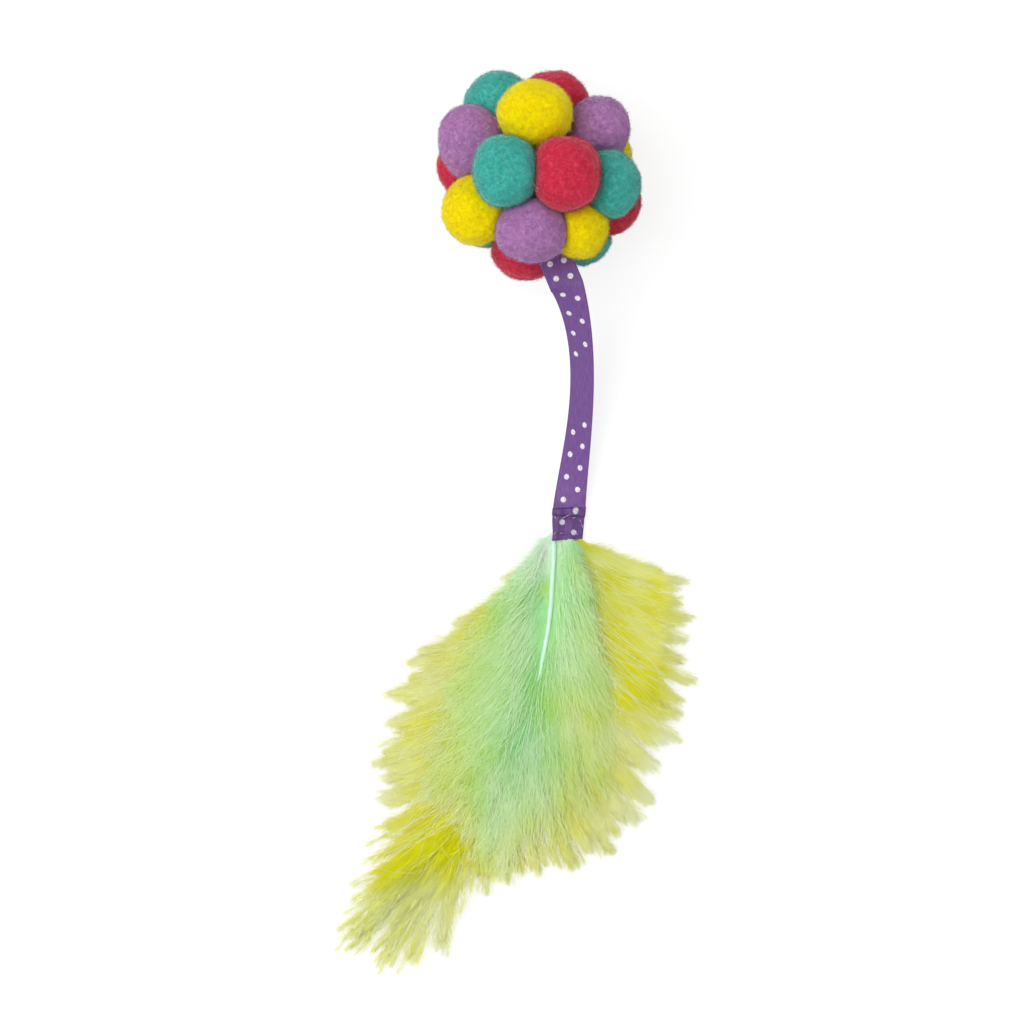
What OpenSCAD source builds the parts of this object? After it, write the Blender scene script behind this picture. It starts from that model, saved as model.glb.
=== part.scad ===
// Cat bobble ball: felt balls glued round a hollow rattle core, with a ribbon tail and two plumes.
// The origin is on the table under the middle of the ball, the tail runs towards -Y and +Z is up.

/* [Felt balls] */
// Diameter of a full felt ball
felt_d = 20; // [18:0.5:22]
// Diameter of the smaller felt balls that fill the narrow places
felt_small_d = 18.5; // [17:0.5:20]
// Depth to which each felt ball is pressed into its seat
felt_press = 0.4; // [0.2:0.1:1]
// Air left between two felt balls that press on each other
felt_gap = 0.06; // [0.02:0.02:0.2]
// Depth of the flat under each felt ball that the toy rests on
rest_flat = 0.4; // [0.2:0.1:1]

/* [Core] */
// Outer diameter of the hollow core
core_d = 26; // [24:0.5:30]
// Wall of the core
core_wall = 1.6; // [1.2:0.1:2.4]
// Height of the lip where the two halves lap
lip_h = 1.5; // [1:0.1:2.5]
// Fit between the lip and the other half
lip_fit = 0.1; // [0.05:0.05:0.3]
// Diameter of the loose bead that rattles
bead_d = 8; // [5:0.5:8]
// Room left round the bead where it lies
bead_room = 0.3; // [0.2:0.1:1]
// Thickness of the glue between core and felt
glue_t = 0.4; // [0.3:0.1:0.8]
// Diameter of one pad of glue
glue_d = 6; // [4:0.5:8]

/* [Ribbon] */
// Width of the ribbon
ribbon_w = 10; // [8:0.5:12]
// Thickness of the ribbon
ribbon_t = 0.4; // [0.3:0.1:0.6]
// Room round the ribbon where it passes the felt and the core
ribbon_room = 0.3; // [0.2:0.1:0.6]
// How far the ribbon comes straight out beyond the felt before it first bends
ribbon_lead = 0.4; // [0.2:0.2:4]
// Length of the stop folded into the ribbon inside the core
stop_len = 2; // [1:0.25:2.5]
// Width of that folded stop
stop_w = 6; // [4:0.5:8]
// Thickness of that folded stop
stop_t = 1.6; // [1.2:0.1:2.4]
// Distance that the tail runs away from the ball, seen from above
tail_run = 66.2; // [50:0.2:90]
// Sideways shift of the hem from the place where the ribbon comes out
tail_shift = 1.4; // [-4:0.2:6]
// Angle at which the ribbon falls away where it first bends
drop_angle = 38; // [20:1:42]
// Greatest tilt of the ribbon on its way down, with its right edge up
tilt_mid = 47; // [0:1:50]
// Gap between two lengths of ribbon that bend on each other
bend_gap = 0.4; // [0.3:0.05:0.6]

/* [Hem] */
// Length of the folded hem
hem_len = 10; // [8:0.5:14]
// Thickness of the hem with the quills in it
hem_t = 2.8; // [2.4:0.1:4]
// Height of the hem above the table
hem_lift = 0.3; // [0.2:0.1:2]
// Length of one stitch
stitch_len = 1.6; // [1:0.1:2.2]
// Thickness of the sewing thread
thread_t = 0.3; // [0.2:0.05:0.5]

/* [Plumes] */
// Width of the yellow plume from tip to tip
yellow_plume_w = 112; // [90:1:130]
// Length of the yellow plume below the hem
yellow_plume_len = 134; // [110:1:150]
// Width of the mint plume from tip to tip
mint_plume_w = 68; // [50:1:80]
// Length of the mint plume below the hem
mint_plume_len = 110; // [90:1:125]
// Diameter of each quill at the hem
quill_d = 1.3; // [1:0.1:1.6]
// Diameter of each quill at its tip
quill_tip_d = 0.5; // [0.3:0.1:0.8]
// Length of the mint quill beyond the hem
mint_quill_len = 66; // [50:1:80]
// Length of the yellow quill beyond the hem
yellow_quill_len = 84; // [60:1:90]
// Depth of quill held in the hem
quill_grip = 8; // [5:0.5:9]
// Gap in each quill where it flexes below the hem
flex_gap = 0.8; // [0.6:0.1:1.2]
// Greatest loft of the mint plume
mint_loft = 6; // [4:0.5:8]
// Greatest loft of the yellow plume
yellow_loft = 6.5; // [4:0.5:8]
// Air between the two plumes
plume_air = 0.4; // [0.3:0.1:1]
// Depth of the notches between tufts, as a share of the plume's half width
tuft_notch = 0.13; // [0:0.01:0.25]

/* [Hidden] */
core_r = core_d / 2;
hollow_r = core_r - core_wall;
lip_r = core_r - core_wall / 2;
seat_r = core_r + glue_t;
bead_r = bead_d / 2;
quill_r = quill_d / 2;
quill_tip_r = quill_tip_d / 2;
// Air on both faces of a pad of glue
glue_skin = 0.05;
// Step inside the lip, so that it doesn't meet the hollow edge to edge
lip_ledge = 0.1;
// Stitches: distance of each row from the hem's edge, stitches in a row, and their slant
stitch_edge = 2.4;
stitch_count = 4;
stitch_lean = 25;
round_fn = 96;
// Overrun of a cut past the face that it opens
over = 1;
// Half width of the slab that stands for the table, wider than the whole ball
table_half = core_d + 2 * felt_d;

// Felt colours as they look in the hand
yellow = "#f2df00";
teal = "#47ada0";
raspberry = "#c62d46";
lilac = "#a87cae";
purple = "#7d5496";
mint = "#a1d595";
plume_yellow = "#d7d72e";
thread = "#c9a3cc";
quill_mint = "#d6f4dd";

// Felt balls: name, colour, angle down from the top, angle round from +X, diameter
rest_angle = 153;
felt_balls = [
    ["teal_top", teal, 27, 190, felt_d],
    ["raspberry_top", raspberry, 22, 344, felt_d],
    ["yellow_far", yellow, 45, 96, felt_d],
    ["lilac_left", lilac, 72, 152, felt_d],
    ["yellow_left", yellow, 68, 210, felt_d],
    ["lilac_tail", lilac, 52, 262, felt_d],
    ["yellow_tail", yellow, 70, 306, felt_small_d],
    ["teal_right", teal, 66, 350, felt_d],
    ["lilac_right", lilac, 82, 40, felt_small_d],
    ["teal_far", teal, 91, 116, felt_d],
    ["raspberry_far", raspberry, 104, 78, felt_d],
    ["raspberry_left", raspberry, 114, 168, felt_d],
    ["teal_left", teal, 126, 212, felt_small_d],
    ["raspberry_tail", raspberry, 115, 256, felt_d],
    ["teal_tail", teal, 119, 303, felt_small_d],
    ["raspberry_right", raspberry, 103, 338, felt_small_d],
    ["yellow_right", yellow, 120, 20, felt_small_d],
    ["lilac_foot", lilac, rest_angle, 62, felt_d],
    ["yellow_foot", yellow, rest_angle, 165, felt_d],
    ["lilac_foot_tail", lilac, rest_angle, 282, felt_d],
];
felt_count = len(felt_balls);
felt_names = [for (b = felt_balls) str("felt_", b[0])];

// Distance of a felt ball's middle from the middle of the core
function felt_reach(d) = seat_r + d / 2 - felt_press;

ball_z = -felt_reach(felt_d) * cos(rest_angle) + felt_d / 2 - rest_flat;
ball_middle = [0, 0, ball_z];

function aim(down, round) = [sin(down) * cos(round), sin(down) * sin(round), cos(down)];
function felt_middle(b) = ball_middle + felt_reach(b[4]) * aim(b[2], b[3]);
function unit(v) = v / norm(v);

// Route of the ribbon: out of the ball, then along one cubic curve down to the hem
exit_angle = -76;
exit_heading = -67;
hem_heading = -95;
exit_pull = 31;
hem_pull = 18;
tilt_lead = 0.65;
tilt_ease = 0.55;
exit_reach = felt_reach(felt_d) + felt_d / 2 + ribbon_lead;
hem_z = hem_lift + hem_t / 2;
exit_point = ball_middle + exit_reach * aim(90, exit_angle);
hem_point = [exit_point[0] + tail_shift, exit_point[1] - tail_run, hem_z];
tail_curve = [
    exit_point,
    exit_point + exit_pull * aim(90 + drop_angle, exit_heading),
    hem_point - hem_pull * aim(90, hem_heading),
    hem_point,
];

function on_curve(c, t) =
    pow(1 - t, 3) * c[0] + 3 * t * pow(1 - t, 2) * c[1] + 3 * t * t * (1 - t) * c[2] + pow(t, 3) * c[3];
function along_curve(c, t) =
    3 * (pow(1 - t, 2) * (c[1] - c[0]) + 2 * t * (1 - t) * (c[2] - c[1]) + t * t * (c[3] - c[2]));
function tilt(t) = tilt_mid * pow(max(0, sin(180 * pow(t, tilt_lead))), tilt_ease);

// A frame is [place, across, along, up]; the ribbon's right edge is lifted by its tilt
function level_frame(place, along) =
    let (across = unit(cross([0, 0, 1], along)))
    [place, across, along, cross(along, across)];
function tilted(f, a) = [f[0], f[1] * cos(a) + f[3] * sin(a), f[2], f[3] * cos(a) - f[1] * sin(a)];
function tail_frame(t) =
    tilted(level_frame(on_curve(tail_curve, t), unit(along_curve(tail_curve, t))), tilt(t));

exit_frame = level_frame(exit_point, aim(90, exit_heading));
hem_frame = level_frame(hem_point, aim(90, hem_heading));
link_ends = [0, 0.34, 0.67, 1];
link_rings = 10;

// Ribbon inside the ball: how far back from its exit it reaches, to a stop behind the core's wall
root_offset = exit_reach * sin(exit_heading - exit_angle);
root_span = exit_reach * cos(exit_heading - exit_angle);
stop_corner = abs(root_offset) + stop_w / 2;
stop_face = root_span - sqrt(pow(hollow_r, 2) - pow(stop_corner, 2)) + ribbon_room + stop_t / 2;
root_len = stop_face + stop_len;

// Plumes as drawn: each rib is [quill, left tips, right tips] from the middle of the hem's lower edge
hem_end = hem_point + hem_len * aim(90, hem_heading);
flex_run = 1.2;
plume_start = 6;
mint_quill_edge = 1.2;
mint_quill_x = mint_quill_edge - ribbon_w / 2;
yellow_quill_x = 1;
yellow_drawn = [
    [[0, -6], [-6, -6], [13, -5]],
    [[-1, -17], [-16, -15], [35, -13]],
    [[-3, -29], [-36, -31], [39, -34]],
    [[-7, -45], [-50, -43], [38, -52]],
    [[-15, -63], [-59, -63], [28, -79]],
    [[-27, -81], [-57, -76], [10, -99]],
    [[-41, -99], [-64, -97], [-21, -109]],
    [[-55, -114], [-68, -109], [-44, -134]],
    [[-67, -126], [-73, -129], [-65, -131]],
];
mint_drawn = [
    [[-5, -6], [-12, -7], [2, -6]],
    [[-5.5, -19], [-23, -24], [11, -17]],
    [[-6.5, -31], [-35, -39], [18, -34]],
    [[-10, -47], [-43, -57], [21, -54]],
    [[-16, -65], [-47, -78], [16, -76]],
    [[-24, -83], [-46, -95], [1, -96]],
    [[-33, -99], [-40, -109], [-21, -110]],
];

// The drawn ribs brought to a plume's own width and length
function sized(ribs, w, len) =
    let (
        across = [for (r = ribs, p = r) p[0]],
        down = [for (r = ribs, p = r) -p[1]],
        share = [w / (max(across) - min(across)), len / max(down)]
    )
    [for (r = ribs) [for (p = r) [p[0] * share[0], p[1] * share[1]]]];
yellow_ribs = sized(yellow_drawn, yellow_plume_w, yellow_plume_len);
mint_ribs = sized(mint_drawn, mint_plume_w, mint_plume_len);
yellow_rows = 54;
mint_rows = 42;
tuft_shape = [0, 1, 0.5];
plume_edge_t = 0.5;
// Groove that a quill lies in: room under it, room beside it, width of its banks, run past the tip
groove_room = 0.1;
groove_side = 0.35;
groove_bank = 1.2;
groove_overrun = 2;
groove_half = quill_r + groove_side;
groove_shoulder = groove_half + groove_bank;

// A plume's section: where its top bends between tips and groove, and how round its crown is
plume_bends = [0.7, 0.4];
crown_power = 0.8;
// A plume's side view: share of its loft at the hem, how fast it gains loft, and how its tip thins
hem_loft = 0.35;
loft_gain = 2.2;
tip_start = 4;
tip_power = 0.7;

// Heights below the hem: the quills part, and the plumes meet on one sloping plane
meet_rise = 0.075;
meet_drop = 0.2;
meet_start = hem_z - meet_drop;
far_d = 60;
mint_rise = [1.8, 6.5];
yellow_rise = [-0.4, 1.9];
function meet_z(d) = meet_start + meet_rise * d;
function quill_z(d, rise) = hem_z + lookup(d, [[0, 0], [plume_start, rise[0]], [far_d, rise[1]]]);

// Puts children drawn with x across, -y along and z up into a frame
module in_frame(f) {
    m = [for (i = [0:2]) [f[1][i], -f[2][i], f[3][i], f[0][i]]];
    multmatrix(concat(m, [[0, 0, 0, 1]])) children();
}

// Turns children drawn up +Z to point along a direction
module pointing(v) {
    rotate([0, acos(v[2] / norm(v)), atan2(v[1], v[0])]) children();
}

// Everything beyond a plane that is square to v, at a distance from the origin
module beyond(v, distance, size) {
    pointing(v) translate([-size, -size, distance]) cube([2 * size, 2 * size, 2 * size]);
}

module ribbon_passage() {
    w = ribbon_w + 2 * ribbon_room;
    t = ribbon_t + 2 * ribbon_room;
    in_frame(exit_frame) translate([-w / 2, -felt_d, -t / 2]) cube([w, felt_d + root_len, t]);
}

// One felt ball, flattened where it meets its neighbours, its seat, the ribbon and the table
module felt_ball(n) {
    b = felt_balls[n];
    r = b[4] / 2;
    c = felt_middle(b);
    color(b[1]) difference() {
        translate(c) pointing(c - ball_middle) sphere(r, $fn = round_fn);
        for (k = [0:felt_count - 1]) {
            v = felt_middle(felt_balls[k]) - c;
            d = norm(v);
            other_r = felt_balls[k][4] / 2;
            face = (d * d + r * r - other_r * other_r) / (2 * max(d, felt_gap)) - felt_gap / 2;
            if (k != n && d < r + other_r) translate(c) beyond(v, face, felt_d);
        }
        translate(ball_middle) sphere(seat_r, $fn = round_fn);
        ribbon_passage();
        translate([-table_half, -table_half, -felt_d]) cube([2 * table_half, 2 * table_half, felt_d]);
    }
}

module core_shell() {
    difference() {
        sphere(core_r, $fn = round_fn);
        sphere(hollow_r, $fn = round_fn);
    }
}

module core_lower() {
    color("white") difference() {
        translate(ball_middle) {
            intersection() {
                core_shell();
                translate([-core_r, -core_r, -core_r]) cube([core_d, core_d, core_r]);
            }
            difference() {
                cylinder(r = lip_r - lip_fit, h = lip_h, $fn = round_fn);
                translate([0, 0, -over])
                    cylinder(r = hollow_r + lip_ledge, h = lip_h + 2 * over, $fn = round_fn);
            }
        }
        ribbon_passage();
    }
}

module core_upper() {
    color("white") difference() {
        translate(ball_middle) difference() {
            core_shell();
            translate([-core_d, -core_d, -core_d]) cube([2 * core_d, 2 * core_d, core_d]);
            translate([0, 0, -over]) cylinder(r = lip_r, h = lip_h + lip_fit + over, $fn = round_fn);
        }
        ribbon_passage();
    }
}

// The bead lies at the bottom of the hollow
module rattle_bead() {
    color("silver") translate(ball_middle - [0, 0, hollow_r - bead_r - bead_room])
        sphere(bead_r, $fn = round_fn);
}

// One thin pad of glue under each felt ball
module glue_pads() {
    color("ivory") for (b = felt_balls) translate(ball_middle) pointing(aim(b[2], b[3]))
        rotate_extrude($fn = round_fn) intersection() {
            difference() {
                circle(seat_r - glue_skin, $fn = round_fn);
                circle(core_r + glue_skin, $fn = round_fn);
            }
            square([glue_d / 2, core_d]);
        }
}

// The stretch that is fixed in the ball, from the folded stop inside the core to the first bend
module ribbon_root() {
    color(purple) in_frame(exit_frame) {
        translate([-ribbon_w / 2, bend_gap / 2, -ribbon_t / 2])
            cube([ribbon_w, root_len - bend_gap / 2, ribbon_t]);
        translate([-stop_w / 2, stop_face, -stop_t / 2]) cube([stop_w, stop_len, stop_t]);
    }
}

// Side faces and ends of a stack of rings, as triangles. Both broad faces split along the same diagonal,
// and an end is a strip between its two halves, because a plume's ends are hollowed by the groove.
function skin_faces(rings, sides) = concat(
    [for (i = [0:rings - 2], j = [0:sides - 1])
        let (a = i * sides + j, b = i * sides + (j + 1) % sides)
        each j < sides / 2 ? [[a, b, b + sides], [a, b + sides, a + sides]]
            : [[a, b, a + sides], [b, b + sides, a + sides]]],
    [for (j = [0:sides / 2 - 2]) let (m = sides - 1 - j) each [[j, m - 1, j + 1], [j, m, m - 1]]],
    [for (j = [0:sides / 2 - 2]) let (k = (rings - 1) * sides, m = sides - 1 - j)
        each [[k + j, k + j + 1, k + m - 1], [k + j, k + m - 1, k + m]]]
);

function ribbon_ring(f) = [
    for (e = [[-1, -1], [-1, 1], [1, 1], [1, -1]])
        f[0] + f[1] * e[0] * ribbon_w / 2 + f[3] * e[1] * ribbon_t / 2
];

// One bending length of ribbon between two stations of the tail
module ribbon_link(n) {
    from = link_ends[n] + bend_gap / 2 / norm(along_curve(tail_curve, link_ends[n]));
    to = link_ends[n + 1] - bend_gap / 2 / norm(along_curve(tail_curve, link_ends[n + 1]));
    step = (to - from) / (link_rings - 1);
    points = [for (i = [0:link_rings - 1]) each ribbon_ring(tail_frame(from + i * step))];
    color(purple) polyhedron(points, skin_faces(link_rings, 4));
}

module ribbon_upper() { ribbon_link(0); }
module ribbon_middle() { ribbon_link(1); }
module ribbon_lower() { ribbon_link(2); }

// The ribbon's end, folded over and sewn flat round the two quills
module ribbon_hem() {
    bevel = hem_t / 4;
    top = -bend_gap / 2;
    half = hem_t / 2;
    color(purple) in_frame(hem_frame) difference() {
        rotate([90, 0, 90]) translate([0, 0, -ribbon_w / 2]) linear_extrude(ribbon_w) polygon([
            [top, -half + bevel], [top - bevel, -half], [-hem_len, -half],
            [-hem_len, half], [top - bevel, half], [top, half - bevel],
        ]);
        for (x = [mint_quill_x, yellow_quill_x]) translate([x, -hem_len - over, 0]) rotate([-90, 0, 0])
            cylinder(r = quill_r + groove_room, h = quill_grip + over, $fn = round_fn);
    }
}

// Two rows of stitches through the hem, on both faces
module hem_stitches() {
    rows = [stitch_edge, hem_len - stitch_edge];
    step = ribbon_w / stitch_count;
    color(thread) in_frame(hem_frame) for (row = rows, i = [0:stitch_count - 1], side = [-1, 1])
        translate([(i - (stitch_count - 1) / 2) * step, -row, side * (hem_t + thread_t) / 2])
            rotate([0, 0, stitch_lean]) cube([stitch_len, thread_t, thread_t], center = true);
}

// The ends of both quills that are sewn into the hem
module quill_roots() {
    color(quill_mint) in_frame(hem_frame) for (x = [mint_quill_x, yellow_quill_x])
        translate([x, -hem_len - flex_run + flex_gap / 2, 0]) rotate([-90, 0, 0])
            cylinder(r = quill_r, h = quill_grip + flex_run - flex_gap / 2 - groove_room, $fn = round_fn);
}

// Smooth curve through a list of points, for s from 0 to 1
function smooth_point(p, s) =
    let (
        n = len(p) - 1,
        k = min(floor(s * n), n - 1),
        u = s * n - k,
        a = p[max(k - 1, 0)],
        b = p[k],
        c = p[k + 1],
        d = p[min(k + 2, n)]
    )
    b + u * (c - a) / 2 + u * u * (a - 2.5 * b + 2 * c - d / 2) + u * u * u * (1.5 * (b - c) + (d - a) / 2);
function rib_line(ribs, n) = [for (r = ribs) r[n]];

// A quill's plan: from its hole in the hem into the first rib and along the ribs after it
function quill_line(ribs, x) = concat([[x, -flex_run - flex_gap / 2]], rib_line(ribs, 0));

function quill_ring(place, along, r) =
    let (across = unit(cross([0, 0, 1], along)), up = cross(along, across), sides = 8)
    [for (j = [0:sides - 1]) place + r * (across * sin(360 * j / sides) + up * cos(360 * j / sides))];

quill_rings = 16;
plan_steps = 100;

// One tapered quill that follows its plume
module quill(line, rise, length) {
    plan = [for (i = [0:plan_steps]) smooth_point(line, i / plan_steps)];
    inside = [for (p = plan) if (norm(p - plan[0]) <= length) p];
    last = len(inside) - 1;
    stations = [for (i = [0:quill_rings - 1]) inside[round(i * last / (quill_rings - 1))]];
    route = [for (p = stations) [hem_end[0] + p[0], hem_end[1] + p[1], quill_z(-p[1], rise)]];
    points = [for (i = [0:quill_rings - 1])
        let (
            along = unit(route[min(i + 1, quill_rings - 1)] - route[max(i - 1, 0)]),
            r = quill_r + (quill_tip_r - quill_r) * i / (quill_rings - 1)
        )
        each quill_ring(route[i], along, r)];
    polyhedron(points, skin_faces(quill_rings, 8));
}

module yellow_quill() {
    color("khaki") quill(quill_line(yellow_ribs, yellow_quill_x), yellow_rise, yellow_quill_len);
}

module mint_quill() {
    color(quill_mint) quill(quill_line(mint_ribs, mint_quill_x), mint_rise, mint_quill_len);
}

// Thickness of a plume across its half width, from 1 at the quill to 0 at the tips
function crown(v) = pow(1 - v * v, crown_power);
// Loft of a plume along its length
function swell(s) = min(1, hem_loft + loft_gain * s) * pow(max(0, 1 - pow(s, tip_start)), tip_power);

// Half a row of a plume in plan, from the tips to the groove: [place, share of the half width]
function half_row(middle, tips, notch) =
    let (w = norm(tips - middle), groove = [groove_shoulder / w, groove_half / w])
    [for (v = concat(1 - notch, plume_bends, groove)) [middle + v * (tips - middle), v]];
function reversed(list) = [for (i = [len(list) - 1:-1:0]) list[i]];

// One row of a plume: over the top from the left tips to the right ones, then back underneath
function plume_row(ribs, s, notch, quill_len, rise, floor_z, ceiling_z, loft) =
    let (
        middle = smooth_point(rib_line(ribs, 0), s),
        left = half_row(middle, smooth_point(rib_line(ribs, 1), s), notch),
        right = half_row(middle, smooth_point(rib_line(ribs, 2), s), notch),
        grooved = norm(middle - ribs[0][0]) < quill_len - plume_start + groove_overrun,
        groove_z = quill_z(-middle[1], rise) - quill_r - groove_room,
        plan = concat(left, reversed(right)),
        last = len(plan) - 1,
        beside_quill = [len(left) - 1, len(left)],
        low = [for (p = plan) floor_z(-p[0][1])],
        full = [for (i = [0:last]) low[i] + plume_edge_t + loft * swell(s) * crown(plan[i][1])],
        top = [for (i = [0:last]) grooved && len(search(i, beside_quill)) > 0
            ? groove_z : min(full[i], ceiling_z(-plan[i][0][1]))]
    )
    concat(
        [for (i = [0:last]) [plan[i][0][0], plan[i][0][1], top[i]]],
        [for (i = [last:-1:0]) [plan[i][0][0], plan[i][0][1], low[i]]]
    );

module plume(ribs, rows, quill_len, rise, floor_z, ceiling_z, loft) {
    stack = [for (i = [0:rows - 1])
        let (notch = tuft_notch * tuft_shape[i % len(tuft_shape)])
        plume_row(ribs, i / (rows - 1), notch, quill_len, rise, floor_z, ceiling_z, loft)];
    points = [for (row = stack, p = row) [hem_end[0] + p[0], hem_end[1] + p[1], p[2]]];
    polyhedron(points, skin_faces(rows, len(stack[0])));
}

module yellow_plume() {
    color(plume_yellow) plume(
        yellow_ribs, yellow_rows, yellow_quill_len, yellow_rise,
        function (d) 0, function (d) meet_z(d) - plume_air / 2, yellow_loft
    );
}

// Nothing lies on the mint plume, so its ceiling is well above its loft
module mint_plume() {
    color(mint) plume(
        mint_ribs, mint_rows, mint_quill_len, mint_rise,
        function (d) meet_z(d) + plume_air / 2, function (d) meet_z(d) + 2 * mint_loft, mint_loft
    );
}

for (n = [0:felt_count - 1]) felt_ball(n);
core_lower();
core_upper();
rattle_bead();
glue_pads();
ribbon_root();
ribbon_upper();
ribbon_middle();
ribbon_lower();
ribbon_hem();
hem_stitches();
quill_roots();
yellow_quill();
yellow_plume();
mint_quill();
mint_plume();
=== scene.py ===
"""Looks of a cat bobble ball: felted wool balls, a dotted satin ribbon and two dyed marabou plumes.

Lengths are in millimetres and angles in degrees, until a mesh is made in metres.
"""

import bmesh
import bpy
import numpy as np
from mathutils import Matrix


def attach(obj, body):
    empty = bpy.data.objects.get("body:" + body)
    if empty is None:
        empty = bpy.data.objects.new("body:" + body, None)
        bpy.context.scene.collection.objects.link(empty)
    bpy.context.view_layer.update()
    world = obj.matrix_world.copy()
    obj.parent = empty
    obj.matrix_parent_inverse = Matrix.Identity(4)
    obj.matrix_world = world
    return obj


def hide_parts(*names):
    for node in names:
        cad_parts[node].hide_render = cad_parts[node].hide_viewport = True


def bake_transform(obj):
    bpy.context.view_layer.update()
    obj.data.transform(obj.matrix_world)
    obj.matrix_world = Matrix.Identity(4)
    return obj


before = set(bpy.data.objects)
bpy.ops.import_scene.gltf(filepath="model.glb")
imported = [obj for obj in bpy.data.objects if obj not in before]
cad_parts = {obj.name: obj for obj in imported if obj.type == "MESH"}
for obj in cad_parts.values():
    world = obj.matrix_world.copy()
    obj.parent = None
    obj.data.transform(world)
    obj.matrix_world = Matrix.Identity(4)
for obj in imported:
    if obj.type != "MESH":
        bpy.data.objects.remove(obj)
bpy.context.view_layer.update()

MM = 0.001
UP = np.array([0.0, 0.0, 1.0])
# Each kind of random draw has a seed of its own
SEEDS = dict(felt=100, strings=300, hem=400, thread=410, thread_lie=420, dye=480, plumes=500)

# The felt balls: colour, how far each is pressed out of round along X and Y, and how far it is pushed aside
FELT_BALLS = {
    "teal_top": ("teal", 0.91, 1.01, (0.2, 0)),
    "raspberry_top": ("raspberry", 0.94, 1.04, (-0.8, -0.3)),
    "yellow_far": ("yellow", 1.08, 0.96, (0.2, -0.7)),
    "lilac_left": ("lilac", 1.0, 1.07, (-0.5, -1.5)),
    "yellow_left": ("yellow", 1.0, 1.0, (0, -0.7)),
    "lilac_tail": ("lilac", 1.05, 0.94, (0, 0.2)),
    "yellow_tail": ("yellow", 0.91, 0.96, (-0.8, 0.4)),
    "teal_right": ("teal", 0.93, 0.98, (-0.4, -0.3)),
    "lilac_right": ("lilac", 1.0, 1.0, (0.5, -0.6)),
    "teal_far": ("teal", 1.06, 1.0, (-1.5, 0)),
    "raspberry_far": ("raspberry", 1.07, 1.0, (-0.4, 0)),
    "raspberry_left": ("raspberry", 1.0, 1.0, (0, 0)),
    "teal_left": ("teal", 1.0, 1.0, (0, -0.8)),
    "raspberry_tail": ("raspberry", 1.0, 1.0, (1.2, 0.5)),
    "teal_tail": ("teal", 1.0, 1.0, (1.9, 0.3)),
    "raspberry_right": ("raspberry", 1.0, 1.0, (0.8, 0.8)),
    "yellow_right": ("yellow", 1.0, 1.0, (0.6, 0.5)),
    "lilac_foot": ("lilac", 1.0, 1.0, (0, 0)),
    "yellow_foot": ("yellow", 1.0, 1.0, (0, 0)),
    "lilac_foot_tail": ("lilac", 1.0, 1.0, (0, 0)),
}
# Wool colours: the body of the felt, a darker tone for its mottle that is also painted into its hollows as
# shade, the loose fibres on top, painted paler because light passes through them, and the haze at its rim
WOOL = {
    "yellow": ("#e8d300", "#d8ba00", "#f0e008", "#f6ee90"),
    "teal": ("#3ba398", "#2f9087", "#62bcb0", "#c4e4de"),
    "raspberry": ("#c42942", "#b0213a", "#d44c62", "#eab4ba"),
    "lilac": ("#a26fa4", "#905e97", "#bb90bc", "#dfcbe0"),
}
# These two are squashed to corners against the far yellow ball: their roundness, where a sphere's is 2
SQUASHED = ("teal_top", "raspberry_top")
SQUASHED_POWER = 2.5
# The core and its glue, the air between two balls, and how softly a ball rounds off into a flat
CORE_R = 13.0
GLUE = 0.4
FELT_AIR = 0.06
FELT_SOFTNESS = 0.35
# Balls whose middles are nearer than this share of both radii press on each other
FELT_NEAR = 1.12
# Lumps in the felt: depth, wavelength and number of waves
FELT_LUMPS = ((0.22, 11, 24), (0.07, 3.0, 60))
HAIRS_PER_BALL = 3800
HAIR_LENGTHS = (0.5, 1.6)
HAIR_RADII = (0.034, 0.026, 0.0)

# Ribbon: the route and sizes of the solid, which this repeats
RIBBON_W = 10.0
RIBBON_T = 0.32
EXIT = np.array([8.0802, -32.4079, 30.0932])
EXIT_HEADING = -67
DROP = 38
EXIT_PULL = 31
TAIL_RUN = 66.2
TAIL_SHIFT = 1.4
HEM_HEADING = -95
HEM_PULL = 18
HEM_LEN = 10.0
HEM_Z = 1.7
TILT_MID = 47
TILT_LEAD = 0.65
TILT_EASE = 0.55
LINK_ENDS = (0, 0.34, 0.67, 1)
ROOT_LEN = 28.2
STOP_W, STOP_LEN, STOP_T = 6.0, 2.0, 1.6
# The slot that the felt leaves for the ribbon: room beside it, over it, and the run of the slot's sides.
# Felt balls further across than this don't reach it
SLOT_SIDE, SLOT_OVER, SLOT_EASE = 1.4, 0.35, 1.2
SLOT_BALLS = -14
# The corded selvage and the round of its edge, from the middle of the ribbon
CORD_FROM, EDGE_FROM, EDGE_R = 4.2, 4.7, 0.31

# Dots printed on the ribbon: distance from its middle, first dot, pitch and number, from the exit
DOT_ROWS = [
    (-2.1, -7.7, 4.6, 2), (2.1, -7.2, 5.0, 2),
    (-2.1, 3.1, 7.2, 4), (2.1, 4.7, 7.8, 3),
    (-2.1, 50.2, 7.0, 4), (2.1, 46.8, 6.9, 4),
]
DOT_R = 0.85
CREASE_SHADE = "#3a2150"

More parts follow.
